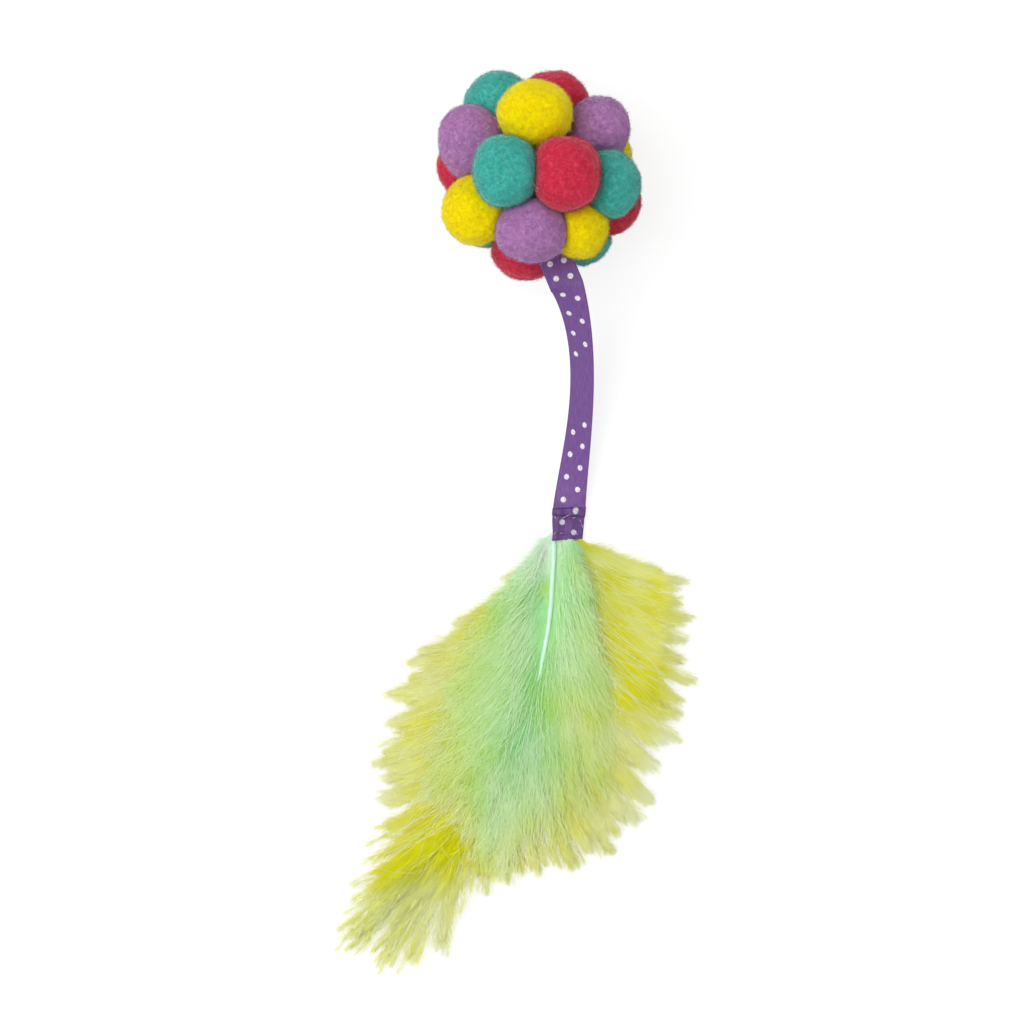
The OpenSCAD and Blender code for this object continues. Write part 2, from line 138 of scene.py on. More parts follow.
# Quills and plumes: ribs are [quill, left tips, right tips] from the middle of the hem's lower edge
QUILL_R = 0.65
QUILL_TIP_R = 0.25
QUILL_INSET = 0.7
MINT_QUILL_X, YELLOW_QUILL_X = -3.8, 1.0
FLEX_RUN = 1.2
PLUME_START = 6.0
FAR_D = 60.0
YELLOW_RIBS = [
    [[0, -6], [-6, -5], [13, -8]],
    [[-1, -17], [-17, -11], [36, -11]],
    [[-3, -29], [-37, -27.5], [39, -33]],
    [[-7, -45], [-51, -39], [38, -52]],
    [[-15, -63], [-59, -63], [28, -79]],
    [[-27, -81], [-57, -76], [10, -99]],
    [[-41, -99], [-64, -97], [-21, -109]],
    [[-55, -114], [-68, -109], [-44, -134]],
    [[-67, -126], [-73, -129], [-65, -131]],
]
MINT_RIBS = [
    [[-4.0, -6], [-13, -4], [3, -6]],
    [[-4.8, -19], [-24, -20], [8, -18]],
    [[-6.4, -31], [-36, -35], [13, -35]],
    [[-10, -47], [-43, -57], [18, -55]],
    [[-16, -65], [-47, -78], [16, -76]],
    [[-23, -83], [-41, -87], [1, -96]],
    [[-24, -100], [-28, -106], [-17, -110]],
]
# Shape of a plume
#   quill_x, quill_len, rise: the quill's place in the hem, its length, and its rise at PLUME_START and FAR_D
#   on_top: whether it lies on the other plume, and not on the table
#   loft, taper: height of the fluff, and how suddenly it thins at the end
#   barbs, hairs: barbs in a quarter of the plume, and side hairs on each
#   locks, draw, full: locks on a side, how far tips are drawn into them, and the share of full barbs
#   lead: by how many ribs a barb's root lies before its tip, left and right
#   mouth, mouth_lift: how far the first roots spread in the hem's mouth, and rise over the other quill
#   first, bare_quill: where the first barbs lie, and the length of the quill that shows
#   spread, scatter: how the side hairs lie along a barb and beside it
# Dye of a plume
#   fade, hold: how far colour follows the plume's length, and how far the first barbs keep the roots' colour
#   paleness, stream: paleness of the dye, and depth of the deeper stream along the quill, partly dye and
#       partly painted shade of the valley it lies in
#   dye_and_shade_spots, patches: x, y, reach and strength of deeper tone, partly dye and partly painted
#       shade, where a negative strength paints light on fluff that shades itself; and of a shift towards the
#       tips' colour
PLUMES = {
    "yellow": dict(
        ribs=YELLOW_RIBS, quill_x=YELLOW_QUILL_X, quill_len=84, rise=(-0.4, 1.9), on_top=False,
        loft=6.5, taper=4, barbs=250, hairs=168, locks=27, draw=0.6, full=0.85, lead=(1.7, 1.7),
        mouth=np.array([[-4.0, 0], [3.8, 0.3]]), mouth_lift=0.0, first=0.0, bare_quill=0,
        spread=0.5, scatter=1.08, fade=0.0, hold=0.0, paleness=0.48, stream=0.0,
        dye_and_shade_spots=[
            (5, -3, 5, 0.6), (13, -10, 5, 0.4), (25, -16, 8, 0.35), (14, -29, 8, 0.6),
            (21, -42, 9, 0.8), (30, -48, 7, 0.4), (-27, -26, 6, 0.5), (-43, -58, 8, 0.4),
            (-45, -91, 13, 0.8), (-33, -91, 8, 0.4), (-56, -96, 10, 0.7), (-52, -117, 9, -0.4),
            (-43, -112, 9, -0.4), (34, -66, 12, -0.3),
        ],
        patches=[(-36, -90, 12, 0.35), (14, -30, 8, 0.3), (-50, -92, 9, 0.1)],
    ),
    "mint": dict(
        ribs=MINT_RIBS, quill_x=MINT_QUILL_X, quill_len=66, rise=(1.8, 6.5), on_top=True,
        loft=4.8, taper=2, barbs=230, hairs=105, locks=20, draw=0.2, full=0.25, lead=(2.1, 3.2),
        mouth=np.array([[-0.9, 1.8], [5.6, 0.4]]), mouth_lift=1.15, first=0.02, bare_quill=39,
        spread=1.0, scatter=1.3, fade=0.35, hold=0.6, paleness=0.52, stream=0.5,
        dye_and_shade_spots=[
            (-6, -14, 3, 0.5), (-9, -18, 4, 0.25), (-8, -25, 4, -0.1), (-8, -33, 5, 0.15),
            (-1, -12, 4, 0.3), (-27, -26, 6, 0.3), (14, -29, 6, 0.4), (-42, -58, 7, 0.3),
            (2, -54, 6, 0.2), (-11, -6, 8, -0.6), (8, -8, 6, -0.3), (9, -34, 9, -0.2),
            (-12, -80, 9, -0.4), (-25, -92, 9, -0.4), (-40, -46, 7, -0.3), (12, -58, 9, -0.15),
        ],
        patches=[
            (-6, -14, 2.5, 0.4), (8, -6, 6, 0.5), (-28, -26, 6, 0.3), (-34, -38, 6, 0.2),
            (-42, -58, 8, 0.25), (-34, -67, 6, 0.15), (0, -48, 5, 0.2), (3, -56, 6, 0.2),
            (3, -73, 7, 0.2), (12, -30, 6, 0.3), (-36, -84, 8, 0.35), (-41, -46, 6, -0.3),
            (-12, -58, 9, -0.12), (-6, -70, 8, -0.1), (-22, -98, 10, 0.3), (-10, -90, 9, 0.15),
            (12, -58, 9, 0.12),
        ],
    ),
}
# Dyes: the quill's body and streaks, and the down from root to tip where it took the dye deeply and palely
QUILL_DYE = {"yellow": ("#e6e38a", "#d2cf62"), "mint": ("#d2f3dc", "#b9e6c8")}
DOWN_DYE = {
    "yellow": (
        [(0, "#c4c80c"), (0.35, "#dcdc00"), (0.75, "#e2e020"), (1, "#e2e48c")],
        [(0, "#d8e096"), (0.35, "#e6eca2"), (0.75, "#eaf0bc"), (1, "#eef2d8")],
    ),
    "mint": (
        [(0, "#84de9e"), (0.2, "#96e294"), (0.45, "#b8e874"), (0.75, "#d2e644"), (1, "#dae660")],
        [(0, "#eefcf0"), (0.2, "#dcf6d2"), (0.45, "#daf4bc"), (0.75, "#e4f4b0"), (1, "#ecf4d0")],
    ),
}

# Strands are coloured by a map: tone across it, in columns, and the way from root to tip up it
TONES = 64
STRAND_MAP = "OFBake"


def linear(colour):
    """A colour written as sRGB hex, in linear light."""
    value = np.array([int(colour[i : i + 2], 16) for i in (1, 3, 5)]) / 255
    light = np.where(value <= 0.04045, value / 12.92, ((value + 0.055) / 1.055) ** 2.4)
    return (*light, 1.0)


def unit(vectors):
    return vectors / np.maximum(np.linalg.norm(vectors, axis=-1, keepdims=True), 1e-9)


def aim(down, around):
    """A direction by its angle down from +Z and its angle round from +X."""
    down, around = np.radians([down, around])
    return np.array([np.sin(down) * np.cos(around), np.sin(down) * np.sin(around), np.cos(down)])


def ease(x):
    """Smooth step from 0 to 1."""
    x = np.clip(x, 0, 1)
    return x * x * (3 - 2 * x)


def waves(points, length, count, rng):
    """Smooth seeded lumps of about that wavelength, of unit strength."""
    ways = unit(rng.normal(size=(count, 3))) * (2 * np.pi / (length * rng.uniform(0.7, 1.4, (count, 1))))
    return np.cos(points @ ways.T + rng.uniform(0, 2 * np.pi, count)).sum(1) * np.sqrt(2 / count)


def smooth(points, s):
    """Places on a smooth curve through a list of points, for s from 0 to 1."""
    points = np.asarray(points, float)
    n = len(points) - 1
    k = np.clip((s * n).astype(int), 0, n - 1)
    u = (s * n - k)[:, None]
    a, b, c, d = (points[np.clip(k + step, 0, n)] for step in (-1, 0, 1, 2))
    return b + u * (c - a) / 2 + u**2 * (a - 2.5 * b + 2 * c - d / 2) + u**3 * (1.5 * (b - c) + (d - a) / 2)


# Materials

def link(tree, source, node, socket):
    """Links an output, or a node's first output that is in use, to a socket."""
    if isinstance(source, bpy.types.Node):
        source = next(output for output in source.outputs if output.enabled)
    tree.links.new(source, node.inputs[socket])


def add(tree, kind, inputs=None, stops=None, **settings):
    """Adds a node. Its inputs go by socket name or number, and hold a value, an output or another node."""
    node = tree.nodes.new("ShaderNode" + kind)
    for name, value in settings.items():
        setattr(node, name, value)
    for socket, value in (inputs or {}).items():
        if isinstance(value, (bpy.types.Node, bpy.types.NodeSocket)):
            link(tree, value, node, socket)
        else:
            node.inputs[socket].default_value = value
    if stops:
        ramp = node.color_ramp.elements
        ramp[0].position, ramp[1].position = stops[0][0], stops[-1][0]
        ramp[0].color, ramp[1].color = linear(stops[0][1]), linear(stops[-1][1])
        for place, colour in stops[1:-1]:
            ramp.new(place).color = linear(colour)
    return node


def new_material(name, **constants):
    """A material with one Principled shader, whose constants are set on its own sockets."""
    material = bpy.data.materials.new(name)
    material.use_nodes = True
    shader = material.node_tree.nodes["Principled BSDF"]
    for socket, value in constants.items():
        shader.inputs[socket.replace("_", " ")].default_value = value
    return material, material.node_tree


def dressed(material, colour, height=None, strength=0.0, depth=0.0):
    """Gives a material its colour and, where it has a height, a relief of that depth."""
    tree = material.node_tree
    shader = tree.nodes["Principled BSDF"]
    link(tree, colour, shader, "Base Color")
    if height is not None:
        bump = add(tree, "Bump", {"Height": height, "Strength": strength, "Distance": depth * MM})
        link(tree, bump, shader, "Normal")
    return material


def per_metre(size):
    """Texture scale that gives features of a size in millimetres."""
    return 1 / (size * MM)


def felted_wool(colour):
    """Wet-felted wool: matted fibres scatter light, so it has no gloss, mottled colour with painted shade in
    its hollows, and a pale rim.
    """
    body, pit_shade_and_mottle, loose, haze = WOOL[colour]
    material, tree = new_material(
        f"felted_wool_{colour}", Roughness=0.95, IOR=1.54,
        Sheen_Weight=0.8, Sheen_Roughness=0.4, Sheen_Tint=linear(haze), Specular_IOR_Level=0.04,
    )
    place = add(tree, "TexCoord").outputs["Object"]
    # Single fibres are 0.03 mm; their tangle is drawn as coarse as shows
    tangle = add(tree, "TexNoise", {
        "Vector": place, "Scale": per_metre(1.3), "Detail": 4.0, "Roughness": 0.62, "Distortion": 0.9,
    })
    mottle = add(tree, "TexNoise", {"Vector": place, "Scale": per_metre(4.0), "Detail": 3.0})
    # The tangle is also the relief: its colour is painted darker in its hollows as shade, and paler on its
    # crests as light through loose fibres. The mottle darkens it towards the same tone at random
    tint = add(tree, "ValToRGB", {"Fac": tangle}, stops=[(0.28, pit_shade_and_mottle), (0.5, body), (0.78, loose)])
    deep = add(tree, "ValToRGB", {"Fac": mottle}, stops=[(0.35, "#000000"), (0.65, "#5a5a5a")])
    mixed = add(tree, "Mix", {0: deep, 6: tint, 7: linear(pit_shade_and_mottle)}, data_type="RGBA")
    return dressed(material, mixed, tangle, strength=0.25, depth=0.25)


def strand_material(name, deep, pale, **constants):
    """Dyed strands: colour runs from root to tip up the map, between a deep and a pale dyeing across it."""
    material, tree = new_material(name, Specular_IOR_Level=0.1, **constants)
    place = add(tree, "SeparateXYZ", {0: add(tree, "UVMap", uv_map=STRAND_MAP)})
    runs = [add(tree, "ValToRGB", {"Fac": place.outputs["Y"]}, stops=stops) for stops in (deep, pale)]
    dyed = add(tree, "Mix", {0: place.outputs["X"], 6: runs[0], 7: runs[1]}, data_type="RGBA")
    return dressed(material, dyed)


def wool_fibre(colour):
    """Loose wool fibres that stand off the felt: paler than the mat, because light passes through them."""
    body, _, loose, haze = WOOL[colour]
    deep, pale = [(0, body), (0.5, body), (1, loose)], [(0, body), (0.5, loose), (1, haze)]
    return strand_material(f"loose_wool_fibre_{colour}", deep, pale, Roughness=0.8, IOR=1.54)


def marabou(colour):
    """Dyed marabou down: hair-fine barbs of keratin, matt and soft, palest where the tips thin out."""
    return strand_material(f"marabou_down_{colour}", *DOWN_DYE[colour], Roughness=0.85, IOR=1.55)


def drawn_glue():
    """Hot-melt glue drawn out to strings: milky, thin and a little glossy, so it catches the light."""
    deep, pale = [(0, "#e2dcd8"), (1, "#f2eeea")], [(0, "#efebe6"), (1, "#f6f3ef")]
    return strand_material("drawn_hot_melt_string", deep, pale, Roughness=0.45, IOR=1.48)


def dyed_quill(colour):
    """Dyed feather shaft: smooth keratin with a soft gloss and faint streaks along it."""
    body, streak = QUILL_DYE[colour]
    material, tree = new_material(f"dyed_quill_{colour}", Roughness=0.42, IOR=1.55)
    place = add(tree, "TexCoord").outputs["Object"]
    along = add(tree, "Mapping", {"Vector": place, "Scale": (per_metre(0.5), per_metre(9), per_metre(0.5))})
    grain = add(tree, "TexNoise", {"Vector": along, "Scale": 1.0, "Detail": 3.0})
    tint = add(tree, "ValToRGB", {"Fac": grain}, stops=[(0.35, streak), (0.6, body)])
    return dressed(material, tint, grain, strength=0.3, depth=0.04)


def satin_ribbon(name, dot_rows, body, shade, glow, ink, worn_ink, creases=()):
    """Woven polyester satin: fine floats along it give streaks and a soft sheen, painted into its colour as
    paler and darker streaks, with a corded selvage.
    """
    material, tree = new_material(name, Roughness=0.55, IOR=1.57, Specular_IOR_Level=0.25)
    flat = add(tree, "UVMap", uv_map="cloth")
    place = add(tree, "SeparateXYZ", {0: flat})
    across, along = place.outputs["X"], place.outputs["Y"]
    # Floats are 0.1 mm wide; drawn three times as wide, which is what a pixel shows
    stretched = add(tree, "Mapping", {"Vector": flat, "Scale": (1 / 0.3, 1 / 3.0, 1.0)})
    floats = add(tree, "TexNoise", {"Vector": stretched, "Scale": 1.0, "Detail": 3.0})
    # The floats' sheen and shade are painted: their paler streaks stand for sheen and their darker ones for
    # shade
    tint = add(tree, "ValToRGB", {"Fac": floats}, stops=[(0.3, shade), (0.52, body), (0.75, glow)])
    # The selvage is a darker cord with a tick at each turn of the weft, every 0.7 mm
    edge = add(tree, "Math", {0: across}, operation="ABSOLUTE")
    cord = add(tree, "MapRange", {"Value": edge, "From Min": 4.5, "From Max": 4.75})
    turn = add(tree, "Math", {0: along, 1: 2 * np.pi / 0.7}, operation="MULTIPLY")
    tick = add(tree, "Math", {0: turn}, operation="SINE")
    tick_fade = add(tree, "MapRange", {"Value": tick, "From Min": -1.0, "To Min": 0.25, "To Max": 0.6})
    bound = add(tree, "Math", {0: cord, 1: tick_fade}, operation="MULTIPLY")
    cloth = add(tree, "Mix", {0: bound, 6: tint, 7: linear(shade)}, data_type="RGBA")
    # A crease holds shadow and wanders by half a millimetre to each side
    wander = add(tree, "TexNoise", {"Vector": flat, "Scale": 1 / 2.5, "Detail": 2.0})
    drawn = add(tree, "Math", {0: wander, 1: 0.9, 2: along}, operation="MULTIPLY_ADD")
    for crease, width in creases:
        away = add(tree, "Math", {0: drawn, 1: crease + 0.45}, operation="SUBTRACT")
        apart = add(tree, "Math", {0: away}, operation="ABSOLUTE")
        depth = add(tree, "MapRange", {"Value": apart, "From Min": width, "From Max": 0.0, "To Max": 0.8})
        cloth = add(tree, "Mix", {0: depth, 6: cloth, 7: linear(CREASE_SHADE)}, data_type="RGBA")
    # Distance to the nearest dot of any row
    nearest = RIBBON_W
    for offset, first, pitch, count in dot_rows:
        run = add(tree, "Math", {0: along, 1: first}, operation="SUBTRACT")
        step = add(tree, "Math", {0: run, 1: pitch}, operation="DIVIDE")
        whole = add(tree, "Math", {0: step}, operation="ROUND")
        number = add(tree, "Clamp", {"Value": whole, "Min": 0.0, "Max": count - 1.0})
        gap = add(tree, "Math", {0: number, 1: -pitch, 2: run}, operation="MULTIPLY_ADD")
        aside = add(tree, "Math", {0: across, 1: offset}, operation="SUBTRACT")
        away = add(tree, "CombineXYZ", {"X": aside, "Y": gap})
        reach = add(tree, "VectorMath", {0: away}, operation="LENGTH")
        nearest = add(tree, "Math", {0: nearest, 1: reach}, operation="MINIMUM")
    # The ink ends raggedly and is worn thin in places
    ragged = add(tree, "TexNoise", {"Vector": flat, "Scale": 1 / 0.5, "Detail": 2.0})
    worn = add(tree, "Math", {0: ragged, 1: 0.5, 2: nearest}, operation="MULTIPLY_ADD")
    inked = add(tree, "MapRange", {"Value": worn, "From Min": DOT_R + 0.36, "From Max": DOT_R + 0.14})
    print_tint = add(tree, "ValToRGB", {"Fac": ragged}, stops=[(0.35, worn_ink), (0.55, ink)])
    printed = add(tree, "Mix", {0: inked, 6: cloth, 7: print_tint}, data_type="RGBA")
    return dressed(material, printed, floats, strength=0.35, depth=0.08)


def spun_thread(name, body, shade):
    """Spun polyester sewing thread: two twisted plies, so pale and shaded bands cross it at a slant."""
    material, tree = new_material(name, Roughness=0.6, IOR=1.57, Sheen_Weight=0.2)
    place = add(tree, "TexCoord").outputs["Object"]
    ply = add(tree, "TexWave", {"Vector": place, "Scale": per_metre(0.5) / 6.0, "Distortion": 1.5})
    tint = add(tree, "ValToRGB", {"Fac": ply.outputs["Fac"]}, stops=[(0.2, shade), (0.7, body)])
    return dressed(material, tint)


def moulded_plastic(name, body, flow, roughness, ior):
    """Injection-moulded plastic: an even satin skin with faint flow marks and fine grain."""
    material, tree = new_material(name, Roughness=roughness, IOR=ior)
    place = add(tree, "TexCoord").outputs["Object"]
    marks = add(tree, "TexNoise", {"Vector": place, "Scale": per_metre(7), "Detail": 2.0, "Distortion": 0.8})
    tint = add(tree, "ValToRGB", {"Fac": marks}, stops=[(0.35, flow), (0.6, body)])
    grain = add(tree, "TexNoise", {"Vector": place, "Scale": per_metre(0.3)})
    return dressed(material, tint, grain, strength=0.2, depth=0.02)


# Meshes

def put(name, data):
    """An object in the scene."""
    made = bpy.data.objects.new(name, data)
    bpy.context.scene.collection.objects.link(made)
    return made


def piece(name, points, triangles, material, maps=None, sharp=None, facets=False):
    """An object from points in millimetres and triangles, with maps that hold a place for each point."""
    mesh = bpy.data.meshes.new(name)
    mesh.vertices.add(len(points))
    mesh.vertices.foreach_set("co", (np.asarray(points) * MM).ravel())
    mesh.loops.add(triangles.size)
    mesh.loops.foreach_set("vertex_index", triangles.astype(np.int32).ravel())
    mesh.polygons.add(len(triangles))
    mesh.polygons.foreach_set("loop_start", np.arange(0, triangles.size, 3, dtype=np.int32))
    mesh.polygons.foreach_set("use_smooth", np.full(len(triangles), not facets))
    mesh.update(calc_edges=True)
    for map_name, places in (maps or {}).items():
        layer = mesh.uv_layers.new(name=map_name)
        layer.uv.foreach_set("vector", places[triangles.ravel()].astype(np.float32).ravel())
    if sharp:
        mesh.set_sharp_from_angle(angle=np.radians(sharp))
    mesh.materials.append(material)
    return put(name, mesh)


def tubes(paths, radii, ups, flat=1.0):
    """Closed three-sided tubes along n paths of m points, each drawn to a point at its tip."""
    count, steps = paths.shape[:2]
    along = unit(np.gradient(paths, axis=1))
    side = unit(np.cross(along, np.broadcast_to(ups, (count, 3))[:, None, :]))
    over = np.cross(side, along)
    corner = np.radians([30, 150, 270])
    spread = np.cos(corner)[:, None] * side[:, :-1, None]
    spread = spread + flat * np.sin(corner)[:, None] * over[:, :-1, None]
    rings = paths[:, :-1, None] + radii[:, :-1, None, None] * spread
    points = np.concatenate([rings.reshape(count, -1, 3), paths[:, -1:]], axis=1)
    now = np.arange(3 * (steps - 2)).reshape(-1, 3)
    turned = np.roll(now, -1, axis=1)
    last = 3 * (steps - 2) + np.arange(3)
    tip = np.full(3, 3 * (steps - 1))
    one = np.concatenate([
        np.stack([now, now + 3, turned], -1).reshape(-1, 3),
        np.stack([turned, now + 3, turned + 3], -1).reshape(-1, 3),
        np.stack([last, tip, np.roll(last, -1)], -1),
        [[0, 1, 2]],
    ])
    triangles = one + (points.shape[1] * np.arange(count))[:, None, None]
    return points.reshape(-1, 3), triangles.reshape(-1, 3)


def strand_places(tone, along):
    """Places on the strand map for tubes of n strands with m stations along each."""
    count = len(along)
    column = np.broadcast_to(np.floor(np.clip(tone, 0, 0.999) * TONES).reshape(count, -1), along.shape)
    u = (column[:, :-1, None] + np.array([0.2, 0.5, 0.8])) / TONES
    v = np.broadcast_to(along[:, :-1, None], u.shape)
    rings = np.stack([u, v], -1).reshape(count, -1, 2)
    tips = np.stack([(column[:, -1:] + 0.5) / TONES, along[:, -1:]], -1)
    return np.clip(np.concatenate([rings, tips], axis=1), 0.002, 0.998).reshape(-1, 2)


def joined(parts):
    """One set of points, triangles and places from several."""
    points, triangles, places, start = [], [], [], 0
    for p, t, uv in parts:
        points.append(p)
        triangles.append(t + start)
        places.append(uv)
        start += len(p)
    return np.concatenate(points), np.concatenate(triangles), np.concatenate(places)


def with_ends(rings):
    """All points of some rings, then the middle of the first ring and of the last one."""
    ends = rings[0].mean(0)[None], rings[-1].mean(0)[None]
    return np.concatenate([rings.reshape(-1, rings.shape[-1]), *ends])


def loft(rings):
    """A closed skin through r rings of k points, with a fan at each end."""
    count, sides = rings.shape[:2]
    now = np.arange(sides * (count - 1)).reshape(count - 1, sides)
    turned = np.roll(now, -1, axis=1)
    first, final = np.arange(sides), sides * (count - 1) + np.arange(sides)
    start, stop = np.full(sides, sides * count), np.full(sides, sides * count + 1)
    triangles = np.concatenate([
        np.stack([now, turned, now + sides], -1).reshape(-1, 3),
        np.stack([turned, turned + sides, now + sides], -1).reshape(-1, 3),
        np.stack([start, np.roll(first, -1), first], -1),
        np.stack([stop, final, np.roll(final, -1)], -1),
    ])
    return with_ends(rings), triangles


def round_tube(path, radii, sides):
    """Rings of a round tube along one path."""
    along = unit(np.gradient(path, axis=0))
    side = unit(np.cross(along, UP + np.array([1e-3, 0, 0])))
    over = np.cross(side, along)
    turn = np.linspace(0, 2 * np.pi, sides, endpoint=False)
    return path[:, None] + radii[:, None, None] * (
        np.cos(turn)[:, None] * side[:, None] - np.sin(turn)[:, None] * over[:, None]
    )


# Felt balls

def sphere_through(points):
    """Middle and radius of the sphere that fits the points best."""
    system = np.c_[2 * points, np.ones(len(points))]
    found = np.linalg.lstsq(system, (points**2).sum(1), rcond=None)[0]
    return found[:3], np.sqrt(found[3] + found[:3] @ found[:3])


def node_points(name):
    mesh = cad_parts[name].data
    co = np.empty(3 * len(mesh.vertices), np.float32)
    mesh.vertices.foreach_get("co", co)
    return co.reshape(-1, 3).astype(float) / MM


def round_mesh(subdivisions):
    shape = bmesh.new()
    bmesh.ops.create_icosphere(shape, subdivisions=subdivisions, radius=1)
    points = np.array([v.co for v in shape.verts])
    triangles = np.array([[v.index for v in f.verts] for f in shape.faces])
    shape.free()
    return unit(points), triangles


# The ball of each solid, without its flats, and pushed aside
ball_middle = np.array([0, 0, EXIT[2]])
felt_spheres = {}
for ball_name, (_, _, _, pushed) in FELT_BALLS.items():
    skin = node_points("felt_" + ball_name)
    outer = skin[np.linalg.norm(skin - ball_middle, axis=1) > CORE_R + 2 * GLUE]
    middle, radius = sphere_through(outer)
    near = outer[abs(np.linalg.norm(outer - middle, axis=1) - radius) < 0.5]
    middle, radius = sphere_through(near)
    felt_spheres[ball_name] = middle + [*pushed, 0], radius

ways, felt_triangles = round_mesh(6)
exit_along = aim(90, EXIT_HEADING)
exit_across = np.cross(UP, exit_along)


def clear_of_ribbon(points, above):
    """Lifts or lowers what would fill the ribbon's way out of the ball."""
    away = points - EXIT
    beside = ease((RIBBON_W / 2 + SLOT_SIDE - abs(away @ exit_across)) / SLOT_EASE)
    inside = beside * ease((away @ exit_along + ROOT_LEN) / 2)
    room = 0.5 * RIBBON_T + SLOT_OVER
    wanted = np.maximum(away[:, 2], room) if above else np.minimum(away[:, 2], -room)
    moved = points.copy()
    moved[:, 2] += inside * (wanted - away[:, 2])
    return moved


def felt_ball(name, rng):
    """Points of one felt ball, pressed flat against its neighbours, its seat and the table.

    Also says which points are bare, where loose hairs can stand."""
    _, stretch_x, stretch_y, _ = FELT_BALLS[name]
    middle, radius = felt_spheres[name]
    power = SQUASHED_POWER if name in SQUASHED else 2
    free = radius / np.linalg.norm(ways / np.array([stretch_x, stretch_y, 1]), power, axis=1)
    for depth, length, count in FELT_LUMPS:
        free = free + depth * waves(ways * radius, length, count, rng)
    inward = unit(ball_middle - middle)
    planes = [(inward, np.linalg.norm(ball_middle - middle) - CORE_R - GLUE), (-UP, middle[2])]
    for other, (other_middle, other_radius) in felt_spheres.items():
        gap = np.linalg.norm(other_middle - middle)
        if other != name and gap < FELT_NEAR * (radius + other_radius):
            face = (gap**2 + radius**2 - other_radius**2) / (2 * gap) - FELT_AIR / 2
            planes.append((unit(other_middle - middle), face))
    reach = [free]
    for way, face in planes:
        facing = ways @ way
        reach.append(np.where(facing > 0.1, face / np.maximum(facing, 0.1), 3 * radius))
    soft = -FELT_SOFTNESS * np.log(sum(np.exp(-(r - free) / FELT_SOFTNESS) for r in reach)) + free
    points = middle + ways * soft[:, None]
    beside_ribbon = middle[1] < 0 and middle @ exit_across > SLOT_BALLS
    if beside_ribbon:
        points = clear_of_ribbon(points, middle[2] > EXIT[2])
    bare = (soft > free - 0.45) & (points[:, 2] > 0.6) & (ways @ inward < 0.6)
    return points, bare


def cube_chart(points, middle):
    """Places on a map of six charts, one for each way that the skin faces."""
    loops = unit(points - middle)[felt_triangles]
    corner = loops.mean(1)
    axis = abs(corner).argmax(1)
    face = 2 * axis + (corner[np.arange(len(axis)), axis] > 0)
    beside = [((axis + n) % 3)[:, None, None].repeat(3, 1) for n in (1, 2)]
    u, v = (np.take_along_axis(loops, other, 2)[..., 0] for other in beside)
    column, row = (face % 3)[:, None], (face // 3)[:, None]
    return np.stack([(column + 0.5 + 0.55 * u) / 3, (row + 0.5 + 0.55 * v) / 2], -1)


def loose_hairs(points, bare, middle, rng):
    """Short wool hairs that lie on a felt ball, most of them flat and some with their tips lifted."""
    at = rng.choice(np.flatnonzero(bare), HAIRS_PER_BALL)
    root = points[at] + rng.normal(0, 0.12, (HAIRS_PER_BALL, 3))
    out = unit(root - middle)
    lie = unit(np.cross(out, rng.normal(size=out.shape)))
    bend = np.cross(out, lie) * rng.normal(0, 0.35, (HAIRS_PER_BALL, 1))
    length = rng.uniform(*HAIR_LENGTHS, (HAIRS_PER_BALL, 1))
    lift = rng.uniform(0.03, 0.25, (HAIRS_PER_BALL, 1)) + 0.75 * rng.random((HAIRS_PER_BALL, 1)) ** 3
    paths = np.stack([
        root - 0.12 * out,
        root + 0.5 * length * lie + 0.7 * lift * out,
        root + length * (lie + bend) + (lift - length**2 / 20) * out,
    ], axis=1)
    paths[..., 2] = np.maximum(paths[..., 2], 0.08)
    skin, triangles = tubes(paths, np.broadcast_to(HAIR_RADII, (HAIRS_PER_BALL, 3)), UP + 0.01)
    stations = np.broadcast_to([0.05, 0.5, 0.95], (HAIRS_PER_BALL, 3))
    return skin, triangles, strand_places(rng.random(HAIRS_PER_BALL), stations)


wool = {colour: felted_wool(colour) for colour in WOOL}
fuzz = {colour: [] for colour in WOOL}
for number, ball_name in enumerate(FELT_BALLS):
    draw = np.random.default_rng(SEEDS["felt"] + number)
    ball_colour = FELT_BALLS[ball_name][0]
    middle = felt_spheres[ball_name][0]
    ball_points, bare_skin = felt_ball(ball_name, draw)
    made = piece("wool_" + ball_name, ball_points, felt_triangles, wool[ball_colour])
    chart = made.data.uv_layers.new(name=STRAND_MAP)
    chart.uv.foreach_set("vector", cube_chart(ball_points, middle).astype(np.float32).ravel())
    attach(made, "ball")
    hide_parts("felt_" + ball_name)
    fuzz[ball_colour].append(loose_hairs(ball_points, bare_skin, middle, draw))
for colour, hairs in fuzz.items():
    skin, triangles, places = joined(hairs)
    made = piece("loose_fibres_" + colour, skin, triangles, wool_fibre(colour), {STRAND_MAP: places})
    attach(made, "ball")


# Strings of glue and wool drawn across the gaps between the felt balls: their ends in plan
STRING_ENDS = np.array([
    [[-16.6, 12.4], [-14.2, 11.2]], [[-16.4, 10.6], [-14.4, 12.2]], [[-15.4, 9.8], [-13.8, 10.6]],
    [[-2.2, -5.4], [1.0, -8.4]], [[-1.7, -6.9], [1.9, -7.7]], [[-0.7, -4.6], [0.6, -8.8]],
    [[-2.4, -7.2], [-0.2, -9.0]],
])
STRING_STEPS = 8
STRING_R = 0.04
STRING_SLACK = 0.5
STRING_LIFT = 0.12


def felt_height(plan):
    """Height of the upper felt balls at places in plan."""
    heights = [np.zeros(plan.shape[:-1])]
    for middle, radius in felt_spheres.values():
        flat = ((plan - middle[:2]) ** 2).sum(-1)
        heights.append(np.where(flat < radius**2, middle[2] + np.sqrt(np.maximum(radius**2 - flat, 0)), 0))
    return np.max(heights, axis=0)


